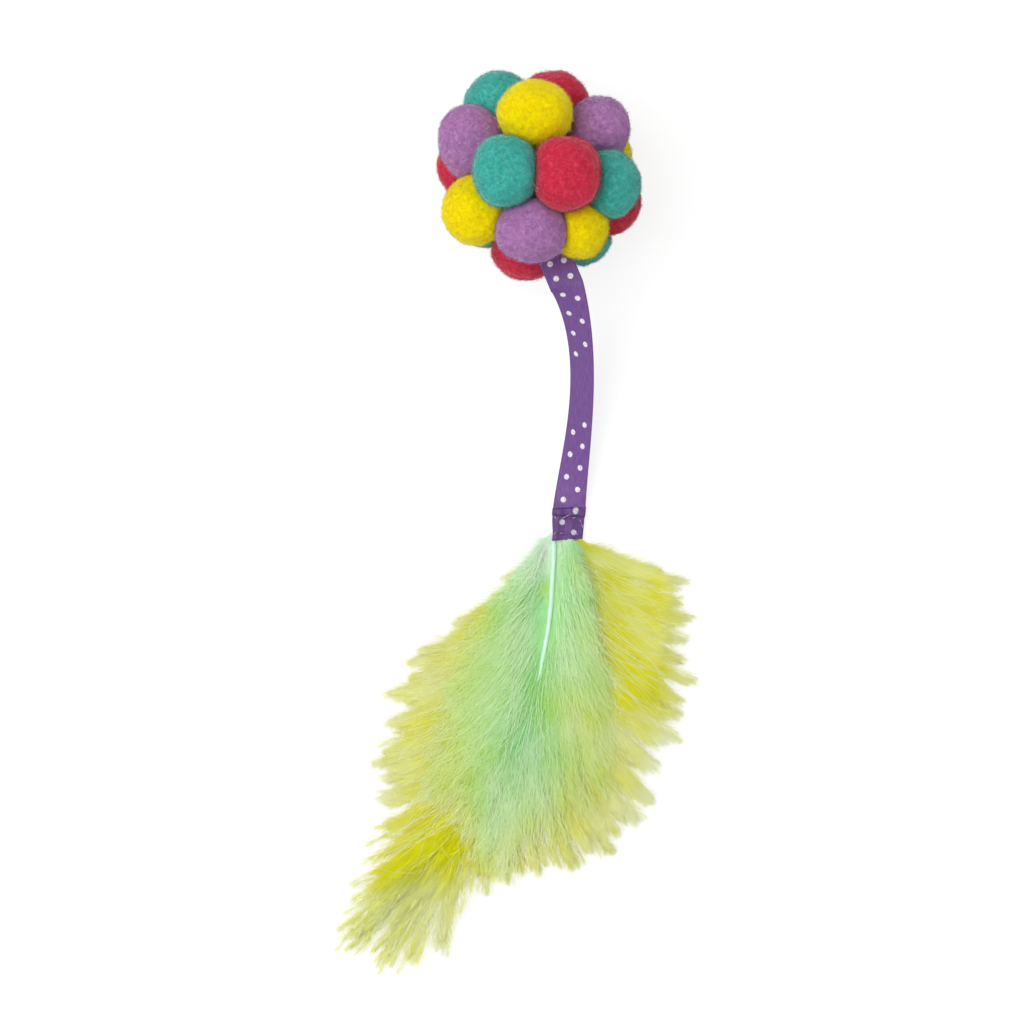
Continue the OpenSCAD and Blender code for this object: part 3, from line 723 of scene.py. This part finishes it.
string_draw = np.random.default_rng(SEEDS["strings"])
string_run = np.linspace(0, 1, STRING_STEPS)[None, :, None]
string_plan = STRING_ENDS[:, :1] + string_run * (STRING_ENDS[:, 1:] - STRING_ENDS[:, :1])
bend = string_draw.normal(0, STRING_SLACK, (len(STRING_ENDS), 1, 2))
string_plan = string_plan + 4 * string_run * (1 - string_run) * bend
string_z = felt_height(string_plan)[..., None] + STRING_LIFT
taut = string_z[:, :1] + string_run * (string_z[:, -1:] - string_z[:, :1])
string_paths = np.concatenate([string_plan, np.maximum(string_z, taut)], -1)
stations = np.broadcast_to(string_run[..., 0], string_paths.shape[:2])
skin, triangles = tubes(string_paths, np.full(stations.shape, STRING_R), UP + 0.01)
places = strand_places(string_draw.random(len(STRING_ENDS)), stations)
made = piece("glue_strings", skin, triangles, drawn_glue(), {STRAND_MAP: places})
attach(made, "ball")


# Ribbon

hem_point = np.array([EXIT[0] + TAIL_SHIFT, EXIT[1] - TAIL_RUN, HEM_Z])
hem_along = aim(90, HEM_HEADING)
hem_across = np.cross(UP, hem_along)
hem_end = hem_point + HEM_LEN * hem_along
tail_curve = np.array([
    EXIT,
    EXIT + EXIT_PULL * aim(90 + DROP, EXIT_HEADING),
    hem_point - HEM_PULL * hem_along,
    hem_point,
])


def on_tail(t):
    """Places on the tail's cubic curve."""
    share = np.stack([(1 - t) ** 3, 3 * t * (1 - t) ** 2, 3 * t * t * (1 - t), t**3], -1)
    return share @ tail_curve


# Stations along the ribbon, by their distance from the exit
STATION = 0.35
fine_t = np.linspace(0, 1, 1200)
fine_arc = np.r_[0, np.cumsum(np.linalg.norm(np.diff(on_tail(fine_t), axis=0), axis=1))]
tail_len = fine_arc[-1]
arcs = np.arange(-ROOT_LEN, tail_len, STATION)
arcs = np.linspace(-ROOT_LEN, tail_len, len(arcs))
tail_t = np.interp(arcs, fine_arc, fine_t, left=0)
line = np.where(arcs[:, None] < 0, EXIT + arcs[:, None] * exit_along, on_tail(tail_t))
tilt = np.radians(TILT_MID) * np.maximum(0, np.sin(np.pi * tail_t**TILT_LEAD)) ** TILT_EASE


def softened(values, reach):
    """A running mean along the ribbon, which rounds the bend where it leaves the ball."""
    width = 2 * int(reach / STATION) + 1
    padded = np.pad(values, [(width // 2, width // 2)] + [(0, 0)] * (values.ndim - 1), mode="edge")
    window = np.hanning(width + 2)[1:-1]
    window = window / window.sum()
    if values.ndim == 1:
        return np.convolve(padded, window, "valid")
    return np.stack([np.convolve(column, window, "valid") for column in padded.T], -1)


BEND_REACH = 2.0
END_STATIONS = 4
inner = slice(END_STATIONS, -END_STATIONS)
line[inner] = softened(line, BEND_REACH)[inner]
tilt = softened(tilt, BEND_REACH)
line_along = unit(np.gradient(line, axis=0))
level = unit(np.cross(UP, line_along))
upright = np.cross(line_along, level)
line_across = level * np.cos(tilt)[:, None] + upright * np.sin(tilt)[:, None]
line_up = upright * np.cos(tilt)[:, None] - level * np.sin(tilt)[:, None]


def columns(count, crowded):
    """Places across the ribbon, crowded towards its edges."""
    even = np.linspace(-1, 1, count)
    return 0.5 * RIBBON_W * (crowded * np.sin(0.5 * np.pi * even) + (1 - crowded) * even)


RIBBON_COLUMNS = 25
column_x = columns(RIBBON_COLUMNS, 0.35)
# Half thickness across the ribbon: a thin middle and a corded selvage with a round edge
corded = 0.75 + 0.45 * ease((abs(column_x) - CORD_FROM) / 0.4)
round_edge = np.sqrt(np.clip(1 - ((abs(column_x) - EDGE_FROM) / EDGE_R).clip(0) ** 2, 0.02, 1))
half_t = 0.5 * RIBBON_T * corded * round_edge


def ribbon_rings(first, last):
    """Rings of the ribbon between two stations: over the top to the right, and back underneath."""
    rows = slice(first, last + 1)
    middle = line[rows, None] + column_x[:, None] * line_across[rows, None]
    # The inner end is folded on itself into a stop
    folded = ease((STOP_LEN + 0.3 - ROOT_LEN - arcs[rows, None]) / 0.4)
    folded = folded * ease((0.5 * STOP_W + 0.2 - abs(column_x)) / 0.4)
    half = (half_t + folded * (0.5 * STOP_T - half_t))[..., None]
    top = middle + half * line_up[rows, None]
    bottom = middle - half * line_up[rows, None]
    ring = np.concatenate([top, bottom[:, ::-1]], axis=1)
    across = np.broadcast_to(np.r_[column_x, column_x[::-1]], ring.shape[:2])
    along = np.broadcast_to(arcs[rows, None], ring.shape[:2])
    return ring, np.stack([across, along], -1)


def station_of(t):
    return int(np.argmin(abs(arcs - np.interp(t, fine_t, fine_arc))))


# The ribbon's pieces meet within a link, at this share of it, so that each piece crosses one bend
LINK_CUTS = (0.5, 0.5, 0.4)
# Each piece, the solid that it stands for, and how far its bend reaches to each side of the joint
RIBBON_PIECES = [
    ("ribbon_from_ball", "ribbon_root", 2.0), ("ribbon_upper_bend", "ribbon_upper", 6.0),
    ("ribbon_lower_bend", "ribbon_middle", 3.0), ("ribbon_to_hem", "ribbon_lower", 1.6),
]
satin = satin_ribbon("woven_satin_purple", DOT_ROWS, "#6d4889", "#603c7a", "#785394", "#ece8ef", "#b3a9be")
link_cuts = [station_of(a + share * (b - a)) for a, b, share in zip(LINK_ENDS, LINK_ENDS[1:], LINK_CUTS)]
cuts = [0, *link_cuts, len(arcs) - 1]
for n, (name, node_name, reach) in enumerate(RIBBON_PIECES):
    rings, places = ribbon_rings(cuts[n], cuts[n + 1])
    skin, triangles = loft(rings)
    made = piece(name, skin, triangles, satin, {"cloth": with_ends(places)}, sharp=50)
    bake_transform(made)
    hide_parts(node_name)


# Hem

HEM_COLUMNS, HEM_ROWS = 45, 72
# The band that is turned over at the top, and two rows of stitches that draw the sleeve in by a share
HEM_BAND = 2.0
STITCH_ROWS = ((2.4, 0.25), (7.6, 0.2))
# Half thickness of the flat sleeve, and how much fuller it is over a quill
SLEEVE_HALF, QUILL_FULL = 0.55, 0.72


def in_hem(x, down, z):
    """Places from the hem's own across, down and up."""
    return hem_point + x[..., None] * hem_across + down[..., None] * hem_along + z[..., None] * UP


def hem_half(x, down, rng):
    """Half thickness of the sewn sleeve: a turned band, full over each quill, drawn in by the stitches."""
    over_quills = sum(np.exp(-(((x - q) / 1.5) ** 2)) for q in (MINT_QUILL_X + 0.5, YELLOW_QUILL_X))
    body = SLEEVE_HALF + QUILL_FULL * np.minimum(over_quills, 1.0)
    lip = 1 - sum(share * np.exp(-(((down - row) / 0.5) ** 2)) for row, share in STITCH_ROWS)
    edge = np.sqrt(np.clip(1 - (abs(x) / (0.5 * RIBBON_W + 0.1)) ** 6, 0, 1))
    flat = np.stack([x, down, np.zeros_like(x)], -1).reshape(-1, 3)
    creases = 0.06 * waves(flat, 2.6, 30, rng).reshape(x.shape)
    band = 0.25 * ease((HEM_BAND - down) / 0.15)
    return (body * lip + creases + band) * edge


hem_draw = np.random.default_rng(SEEDS["hem"])
hem_down = np.r_[0, 0.08, 0.25, np.linspace(0.5, HEM_LEN - 0.15, HEM_ROWS - 4), HEM_LEN]
grid_x, flat_down = np.meshgrid(columns(HEM_COLUMNS, 0.5), hem_down)
# The turned band is a little wider than the ribbon, and the sleeve is drawn in at its lower left
grid_x = grid_x * (0.985 + 0.045 * ease((HEM_BAND + 0.5 - flat_down) / 0.8))
grid_x = grid_x + 0.5 * ease((flat_down - 3) / 5) * ease(-grid_x / 5)
# The lower edge is frayed and slanted, and the upper one slants a little the other way
fray = 0.2 * waves(np.stack([grid_x, 0 * grid_x, 0 * grid_x], -1).reshape(-1, 3), 1.4, 20, hem_draw)
grid_down = flat_down + ease((flat_down - 8) / 2) * (fray.reshape(grid_x.shape) - 0.17 * grid_x - 0.8)
grid_down = grid_down - ease(1 - grid_down / 3) * 0.14 * (grid_x + 0.5 * RIBBON_W)
round_in = np.sqrt(np.clip(1 - (1 - flat_down.clip(0, 0.5) / 0.5) ** 2, 0.05, 1))
top_half, low_half = (hem_half(grid_x, flat_down, hem_draw) * round_in for _ in range(2))
hem_top, hem_low = in_hem(grid_x, grid_down, top_half), in_hem(grid_x, grid_down, -low_half)
hem_places = np.stack([grid_x, tail_len + flat_down], -1)
skin, triangles = loft(np.concatenate([hem_top, hem_low[:, ::-1]], 1))
places = with_ends(np.concatenate([hem_places, hem_places[:, ::-1]], 1))
HEM_DOTS = [(2.0, tail_len + 0.8, 6.0, 2), (-1.8, tail_len + 4.0, 9.0, 1)]
HEM_CREASES = [(tail_len + 0.05, 0.4), (tail_len + HEM_BAND, 0.3), (tail_len + STITCH_ROWS[1][0], 0.15)]
hem_cloth = satin_ribbon(
    "folded_satin_purple", HEM_DOTS, "#5f3e77", "#503262", "#6c4b85", "#d2ccd6", "#9d95a6", HEM_CREASES
)
made = piece("sewn_hem", skin, triangles, hem_cloth, {"cloth": places}, sharp=60)
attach(made, "hem")
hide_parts("ribbon_hem")

# Stitches by their two ends across and down the hem
STITCHES = np.array([
    [[-2.1, 3.0], [0.4, 1.4]], [[3.6, 2.8], [4.6, 5.0]], [[-4.3, 2.5], [-3.3, 3.2]],
    [[1.2, 2.7], [2.3, 2.3]], [[-4.2, 8.1], [-3.5, 7.2]], [[-2.4, 7.8], [-1.4, 7.4]],
    [[0.2, 7.9], [1.2, 7.6]], [[2.6, 7.1], [3.5, 7.7]],
])
STITCH_STEPS = 12
THREAD_R = 0.11
thread_draw = np.random.default_rng(SEEDS["thread"])
thread_parts = []
stitch_run = np.linspace(-1, 1, STITCH_STEPS)
for face in (1, -1):
    for first, last in STITCHES:
        slack = thread_draw.normal(0, 0.15) * (1 - stitch_run**2)
        x, down = (0.5 * (first + last) + 0.5 * stitch_run[:, None] * (last - first)).T
        cloth_z = hem_half(x, down, np.random.default_rng(SEEDS["thread_lie"])).max()
        z = cloth_z + 0.25 * np.sqrt(1 - stitch_run**2) - 0.15
        p, t = loft(round_tube(in_hem(x, down + slack, face * z), np.full(STITCH_STEPS, THREAD_R), 8))
        thread_parts.append((p, t, np.zeros((len(p), 2))))
skin, triangles, _ = joined(thread_parts)
made = piece("hem_thread", skin, triangles, spun_thread("spun_thread_lilac", "#cf9ccb", "#8d6399"), sharp=60)
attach(made, "hem")
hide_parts("hem_stitches")


# Quills

def quill_height(down, rise):
    return HEM_Z + np.interp(down, [0, PLUME_START, FAR_D], [0, rise[0], rise[1]])


# A quill's curve starts this far past its bend, and its barbs start this far inside the hem
QUILL_PAST, BARBS_INSIDE = 0.4, 1.6
quill_finish = {colour: dyed_quill(colour) for colour in PLUMES}
for colour, plume in PLUMES.items():
    quill_points = [r[0] for r in plume["ribs"]]
    plume["quill"] = [[plume["quill_x"], -FLEX_RUN - QUILL_PAST]] + quill_points
    plume["line"] = [[plume["quill_x"], BARBS_INSIDE]] + quill_points
    share = np.linspace(0, 1, 400)
    plan = smooth(plume["quill"], share)
    on_quill = np.linalg.norm(plan - plan[0], axis=1) <= plume["quill_len"]
    plume["quill_end"] = float(share[on_quill][-1])
    plan = np.concatenate([plan[0] + [[0, QUILL_INSET + QUILL_PAST]], plan[on_quill][::5]])
    path = np.c_[hem_end[:2] + plan, quill_height(-plan[:, 1], plume["rise"])]
    run = np.arange(len(path)) / len(path)
    radii = np.interp(run, [0, 0.6, 1], [QUILL_R + 0.3, QUILL_R + 0.1, QUILL_TIP_R])
    skin, triangles = loft(round_tube(path, radii, 14))
    made = piece(f"{colour}_shaft", skin, triangles, quill_finish[colour], sharp=60)
    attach(made, f"{colour}_feather")
    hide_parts(f"{colour}_quill")


# Plumes

# The plumes meet on a plane that climbs from the hem, with air between them
MEET_START, MEET_RISE, PLUME_AIR = 1.5, 0.075, 0.4
TABLE_AIR = 0.1
BARB_STEPS = 12
STRAYS = 110
LONGEST_HAIR = 6.5
# Radii of barbs, side hairs and stray barbs at root and tip
BARB_R, SIDE_HAIR_R, STRAY_R = (0.07, 0.03), (0.055, 0.0), (0.06, 0.03)
BARB_SWAY, STRAY_SWAY, STRAY_LIFT = 0.9, 4.5, 0.6
# The first barbs start in the hem's mouth, over this share of the quill
MOUTH_SHARE = 0.08
# A barb climbs from the quill to its own height over this length
CLIMB = 9
# The valley that a bare quill lies in: its half widths, at these distances from the hem
VALLEY_AT, VALLEY_HALF = (0, 25), (3, 13)
# Patches in the dye: depth, wavelength and number of waves, and how far single strands differ
DYE_WAVES = (0.14, 11, 14)
STRAND_SPREAD = 0.13


def meet_height(down):
    return MEET_START + MEET_RISE * down


def plume_floor(plume, down, s, share):
    """Height of a plume's underside: yellow lies on the table, and mint settles on it at the sides."""
    if not plume["on_top"]:
        return np.zeros_like(down) + TABLE_AIR
    settled = 1 - (0.4 + 0.15 * ease((s - 0.4) / 0.6)) * ease((share - 0.25) / 0.75)
    return meet_height(down) * settled * (1 - 0.25 * ease((s - 0.6) / 0.4)) + PLUME_AIR / 2


def plume_top(plume, down, s, share):
    """Height of a plume's fluff above the table, by the share of its half width."""
    swell = np.minimum(1, 0.35 + 2.2 * s) * np.maximum(0, 1 - s ** plume["taper"]) ** 0.7
    crown = np.clip(1 - share**2, 0, 1) ** 0.8
    top = plume_floor(plume, down, s, share) + 0.5 + plume["loft"] * swell * crown
    return top if plume["on_top"] else np.minimum(top, meet_height(down) - PLUME_AIR / 2)


def spotted(spots, plan):
    """Sum of soft round spots (place, reach and strength) at places in plan."""
    return sum(
        strength * np.exp(-((plan - [x, y]) ** 2).sum(-1) / reach**2) for x, y, reach, strength in spots
    )


def paleness(plume, plan, rng):
    """How pale strands are at places in plan: patchy dye, and deepest round each spot, where the spots paint
    shade as well as dye.
    """
    flat = np.concatenate([plan, np.zeros((*plan.shape[:-1], 1))], -1).reshape(-1, 3)
    depth, length, count = DYE_WAVES
    patchy = depth * waves(flat, length, count, np.random.default_rng(SEEDS["dye"])).reshape(plan.shape[:-1])
    tone = plume["paleness"] + patchy - spotted(plume["dye_and_shade_spots"], plan)
    # Strands are painted deeper in a stream along the quill: partly dye, and partly painted shade of the
    # valley the quill lies in
    down, quill = -plan[..., 1], np.asarray([r[0] for r in plume["ribs"]])
    beside = (plan[..., 0] - np.interp(down, -quill[:, 1], quill[:, 0]) - 1) / 8
    stream = np.exp(-(beside**2)) * ease((down - 9) / 10) * ease((78 - down) / 25)
    return tone - plume["stream"] * stream + rng.normal(0, STRAND_SPREAD, (len(plan), 1))


def below_quill(plume, points):
    """Presses the fluff down into a shallow valley, so that the bare length of the quill lies on top."""
    plan = hem_end[:2] + smooth(plume["quill"], np.linspace(0, plume["quill_end"], 90))
    down = hem_end[1] - points[..., 1]
    beside = abs(points[..., 0] - np.interp(down, hem_end[1] - plan[:, 1], plan[:, 0]))
    width = np.interp(down, VALLEY_AT, VALLEY_HALF)
    pressed = 0.9 * ease((plume["bare_quill"] + 14 - down) / 26) * ease(1 - (beside - 1) / width)
    points[..., 2] -= pressed * np.maximum(points[..., 2] - quill_height(down, plume["rise"]) + 0.3, 0)
    return points


def quill_and_tips(plume, side, s):
    """Places along a plume's quill, and along its tips on one side."""
    return [smooth([rib[which] for rib in plume["ribs"]], s) for which in (0, side)]


def plume_way(plume, side, share):
    """The way along a plume at which it has that share of one side's area."""
    s = np.linspace(0, 1, 200)
    middle, tips = quill_and_tips(plume, side, s)
    steps = np.linalg.norm(np.diff(middle, axis=0), axis=1) + np.linalg.norm(np.diff(tips, axis=0), axis=1)
    area = np.r_[0, np.cumsum(steps * np.linalg.norm(tips - middle, axis=1)[1:])]
    return np.interp(share, area / area[-1], s)


def barb_locks(plume, side, span, count, rng):
    """Where barbs lie along a plume, where their tips are drawn to, and their share of its half width."""
    s = span[0] + (span[1] - span[0]) * (np.arange(count) + rng.random(count)) / count
    s = plume_way(plume, side, s)
    if span[0] == 0:
        s = np.where(rng.random(count) < 0.12, rng.uniform(0, 0.14, count), s)
    s = plume["first"] + (1 - plume["first"]) * s
    lock = np.floor(s * plume["locks"] + 0.2 * rng.normal(size=count))
    lock_middle = np.clip((lock + 0.5 + 0.25 * np.sin(5 * lock)) / plume["locks"], 0, 1)
    off = np.clip(abs(s - lock_middle) * plume["locks"] * 2, 0, 1)
    draw_in = plume["draw"] * (1 + 0.45 * ease((s - 0.7) / 0.15))
    s_tip = np.clip(s + draw_in * (lock_middle - s) + rng.normal(0, 0.004, count), 0, 1)
    # Barbs in the middle of a lock are longest, and some end short of the outline
    full = 1.03 - 0.17 * off**1.2 - 0.06 * rng.random(count)
    reach = np.where(rng.random(count) < plume["full"], full, rng.uniform(0.25, 0.93, count))
    reach = reach * (0.97 + 0.05 * np.sin(2.3 * lock + side)) * (0.75 + 0.25 * ease(s / 0.1))
    # Past the end of the quill the barbs fill the middle as well
    beyond = s > plume["quill_end"] + 0.02
    return s, s_tip, np.where(beyond, reach * rng.random(count) ** 0.7, reach)


def barb_plan(plume, side, s, s_tip, reach, sway, rng):
    """Barbs seen from above, from root to tip, and how near the hem's mouth each one starts."""
    count = len(s)
    # A barb leaves the quill well above its tips, and the first ones fan out of the hem's mouth
    ribs = len(plume["ribs"])
    lead = plume["lead"][side - 1] * rng.uniform(0.7, 1.25, count)
    s_root = (s * (ribs - 1) + 1 - lead) / ribs
    s_root = np.clip(s_root, 0.004 + 0.02 * rng.random(count), plume["quill_end"] * 0.99)
    at_mouth = ease(1 - s_root / MOUTH_SHARE)[:, None]
    root = smooth(plume["line"], s_root)
    quill_way = unit(smooth(plume["line"], s_root + 0.01) - root)
    root = root + plume["mouth"][side - 1] * (rng.random((count, 1)) ** 0.7 * at_mouth)
    # Only the last part of a barb is drawn to its lock
    ribs_at = [quill_and_tips(plume, side, way) for way in (s_tip, s)]
    end, free_end = (middle + reach[:, None] * (tips - middle) for middle, tips in ribs_at)
    length = np.linalg.norm(end - root, axis=1)[:, None]
    bow = 0.5 * (root + free_end) + quill_way * length * rng.uniform(0.03, 0.2, (count, 1))
    t = np.linspace(0, 1, BARB_STEPS)
    plan = ((1 - t) ** 2)[:, None] * root[:, None] + (2 * t * (1 - t))[:, None] * bow[:, None]
    plan = plan + (t**2)[:, None] * end[:, None]
    aside = unit((end - root)[:, ::-1] * [1, -1])[:, None]
    wiggle = np.sin(2 * np.pi * (t * rng.uniform(0.4, 1.3, (count, 1)) + rng.random((count, 1))))
    sway = sway * ease((s + 0.03) / 0.2)[:, None]
    plan = plan + aside * (wiggle * t * sway * rng.normal(size=(count, 1)))[..., None]
    return root, plan, at_mouth


def barbs(plume, side, span, count, rng, stray=False):
    """Paths of barbs from quill to tips on one side, their grade from root to tip, and their tone.

    Stray barbs lie loose on top of the others, and bleach outwards."""
    s, s_tip, reach = barb_locks(plume, side, span, count, rng)
    sway = STRAY_SWAY if stray else BARB_SWAY
    root, plan, at_mouth = barb_plan(plume, side, s, s_tip, reach, sway, rng)
    t = np.linspace(0, 1, BARB_STEPS)
    share = t * reach[:, None]
    # Most barbs lie in a top and a bottom sheet, with a few between them
    sheet = rng.random((count, 1))
    between = np.where(sheet < 0.7, rng.uniform(0.95, 1.0, (count, 1)), rng.uniform(0.0, 1.0, (count, 1)))
    layer = np.ones((count, 1)) if stray else np.where(sheet > 0.85, 0.15 * between, between)
    down = -plan[..., 1]
    low = plume_floor(plume, down, s[:, None], share)
    high = plume_top(plume, down, s[:, None], share)
    lying = low + (0.1 + 0.9 * layer) * (high - low) + (STRAY_LIFT if stray else 0)
    # Barbs start just under the quill, past its bare length over it, and in the mouth over the other quill
    down_root = -root[:, 1:]
    cover = ease((down_root - plume["bare_quill"]) / 12) * rng.uniform(-0.2, 0.9, (count, 1))
    over_quill = np.exp(-(((root[:, :1] - YELLOW_QUILL_X) / 1.6) ** 2)) * at_mouth
    quill_z = quill_height(down_root, plume["rise"]) - 0.3 + cover + plume["mouth_lift"] * over_quill
    from_root = np.linalg.norm(plan - root[:, None], axis=-1)
    z = quill_z + ease(from_root / CLIMB) * (lying - quill_z)
    paths = np.concatenate([hem_end[:2] + plan, np.maximum(z, np.minimum(low, quill_z))[..., None]], -1)
    grade = plume["fade"] * s[:, None] + (1 - plume["fade"]) * share
    grade = grade * (1 - plume["hold"] + plume["hold"] * ease(s / 0.3))[:, None]
    grade = grade + spotted(plume["patches"], plan)
    # Strands low in the pile are painted deeper and those in the top sheet paler: painted shade and painted
    # light
    tone = paleness(plume, plan, rng) + 0.15 * (layer - 0.5)
    bleached = ease((t - 0.15) / 0.35) if stray else 0.0
    return below_quill(plume, paths), grade, tone + 0.05 + bleached * (0.9 - tone)


def side_hairs(plume, paths, grade, rng):
    """Fine hairs along the barbs that lie close to their way, spread evenly over the plume."""
    which = np.repeat(np.arange(len(paths)), plume["hairs"])
    count = len(which)
    t = rng.uniform(0.02, 1.0, count) ** plume["spread"]
    k = np.minimum((t * (BARB_STEPS - 1)).astype(int), BARB_STEPS - 2)
    u = (t * (BARB_STEPS - 1) - k)[:, None]
    root = paths[which, k] * (1 - u) + paths[which, k + 1] * u
    along = unit(paths[which, k + 1] - paths[which, k])
    side = unit(np.cross(along, UP)) * rng.normal(0, 0.85, (count, 1)) * (1.15 - 0.85 * t)[:, None]
    way = unit(along + side + UP * rng.normal(0, 0.03, (count, 1)))
    left = np.linalg.norm(paths[:, -1] - paths[:, 0], axis=1)[which] * (1 - t)
    length = np.minimum(LONGEST_HAIR * rng.uniform(0.35, 1.0, count), 1.2 + left)[:, None]
    # Hairs lie further aside away from the barb's root and from the hem
    loose = (plume["scatter"] - t) * ease(np.linalg.norm(root - paths[which, 0], axis=1) / 12)
    loose = loose * ease((hem_end[1] - root[:, 1] + 4) / 24)
    root = root + np.cross(along, UP) * rng.normal(0, 2.4, (count, 1)) * loose[:, None]
    hairs = below_quill(plume, np.stack([root, root + length * way], 1))
    hairs[..., 2] = np.maximum(hairs[..., 2], 0.06)
    at = grade[which, k] * (1 - u[:, 0]) + grade[which, k + 1] * u[:, 0]
    return hairs, np.stack([at, at + 0.06], 1), paleness(plume, hairs[..., :2] - hem_end[:2], rng)


def plume_part(plume, side, span, rng):
    """A quarter of a plume as points, triangles and places: barbs, their side hairs and stray barbs."""
    main = barbs(plume, side, span, plume["barbs"], rng)
    hairs = side_hairs(plume, *main[:2], rng)
    strays = barbs(plume, side, span, STRAYS, rng, stray=True)
    parts = []
    for (lines, grade, tone), ends in [(main, BARB_R), (hairs, SIDE_HAIR_R), (strays, STRAY_R)]:
        radii = np.broadcast_to(np.linspace(*ends, grade.shape[1]), grade.shape)
        parts.append((*tubes(lines, radii, UP, flat=0.6), strand_places(tone, grade)))
    return joined(parts)


down_finish = {colour: marabou(colour) for colour in PLUMES}
QUARTERS = [(side, name, half) for side, name in ((1, "left"), (2, "right")) for half in (0, 1)]
for number, (colour, plume) in enumerate(PLUMES.items()):
    for side, side_name, half in QUARTERS:
        draw = np.random.default_rng(SEEDS["plumes"] + 10 * number + 2 * side + half)
        skin, triangles, places = plume_part(plume, side, (0.5 * half, 0.5 + 0.5 * half), draw)
        name = f"{colour}_down_{side_name}_{('near', 'far')[half]}"
        made = piece(name, skin, triangles, down_finish[colour], {STRAND_MAP: places}, facets=True)
        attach(made, f"{colour}_feather")
        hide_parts(f"{colour}_plume")


# The pieces that felt and hem hide

core_plastic = moulded_plastic("moulded_polypropylene_core", "#efeee8", "#dddcd4", 0.4, 1.49)
bead_plastic = moulded_plastic("moulded_polystyrene_bead", "#c23a3a", "#a82c2e", 0.25, 1.59)
set_glue = moulded_plastic("set_hot_melt_glue", "#f3ead2", "#e6d9b8", 0.3, 1.48)
for node_name, finish in [
    ("core_lower", core_plastic), ("core_upper", core_plastic), ("rattle_bead", bead_plastic),
    ("glue_pads", set_glue), ("quill_roots", quill_finish["mint"]),
]:
    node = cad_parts[node_name]
    node.data.materials.clear()
    node.data.materials.append(finish)


# Floor, light and camera, in metres and radians

FLOOR_HALF, FLOOR_DROP = 3.0, 0.05 * MM
LAMP_SIZE, LAMP_WATTS = 0.7, 6.2
LAMP_AT, LAMP_TURN = (-0.4, 0.0, 0.9), (0.11, -0.42, 0)
CAMERA_AT = (-8.1 * MM, -99.3 * MM, 700 * MM)
SENSOR_MM, LENS_MM = 36, 79.73


def seen_directly(tree):
    """1 for what the camera sees, by itself, in a mirror or through glass."""
    path = add(tree, "LightPath")
    mirror = add(tree, "Math", {0: path.outputs["Is Camera Ray"], 1: path.outputs["Is Glossy Ray"]},
                 operation="MAXIMUM")
    return add(tree, "Math", {0: mirror, 1: path.outputs["Is Transmission Ray"]}, operation="MAXIMUM")


def studio_floor():
    """A pale floor that the camera, mirrors and glass see as white, and that keeps the shadow."""
    material = bpy.data.materials.new("matt_paper_floor")
    material.use_nodes = True
    tree = material.node_tree
    tree.nodes.remove(tree.nodes["Principled BSDF"])
    plain = add(tree, "BsdfDiffuse", {"Color": linear("#e4e4e4")})
    shaded = add(tree, "BsdfDiffuse", {"Color": linear("#808080")})
    glow = add(tree, "Emission", {"Color": linear("#ffffff"), "Strength": 0.81})
    both = add(tree, "AddShader", {0: shaded, 1: glow})
    chosen = add(tree, "MixShader", {0: seen_directly(tree), 1: plain, 2: both})
    link(tree, chosen, tree.nodes["Material Output"], "Surface")
    mesh = bpy.data.meshes.new("floor")
    corners = [(x * FLOOR_HALF, y * FLOOR_HALF, 0) for x, y in ((-1, -1), (1, -1), (1, 1), (-1, 1))]
    mesh.from_pydata(corners, [], [(0, 1, 2, 3)])
    mesh.materials.append(material)
    floor = put("floor", mesh)
    floor.location.z = -FLOOR_DROP


def studio_light():
    """Even white surroundings and one broad lamp overhead, a little to the upper left."""
    world = bpy.data.worlds.new("studio")
    world.use_nodes = True
    tree = world.node_tree
    around = tree.nodes["Background"]
    around.inputs["Strength"].default_value = 0.64
    around.inputs["Color"].default_value = linear("#ffffff")
    white = add(tree, "Background", {"Color": linear("#ffffff"), "Strength": 1.0})
    chosen = add(tree, "MixShader", {0: seen_directly(tree), 1: around, 2: white})
    link(tree, chosen, tree.nodes["World Output"], "Surface")
    bpy.context.scene.world = world
    lamp = bpy.data.lights.new("softbox", "AREA")
    lamp.shape = "DISK"
    lamp.size = LAMP_SIZE
    lamp.energy = LAMP_WATTS
    softbox = put("softbox", lamp)
    softbox.location = LAMP_AT
    softbox.rotation_euler = LAMP_TURN


def photo_camera():
    """Straight down on the toy, from arm's length."""
    camera = put("camera", bpy.data.cameras.new("camera"))
    camera.data.sensor_width = SENSOR_MM
    camera.data.lens = LENS_MM
    camera.location = CAMERA_AT
    bpy.context.scene.camera = camera


studio_floor()
studio_light()
photo_camera()
bpy.context.scene.view_settings.view_transform = "Standard"
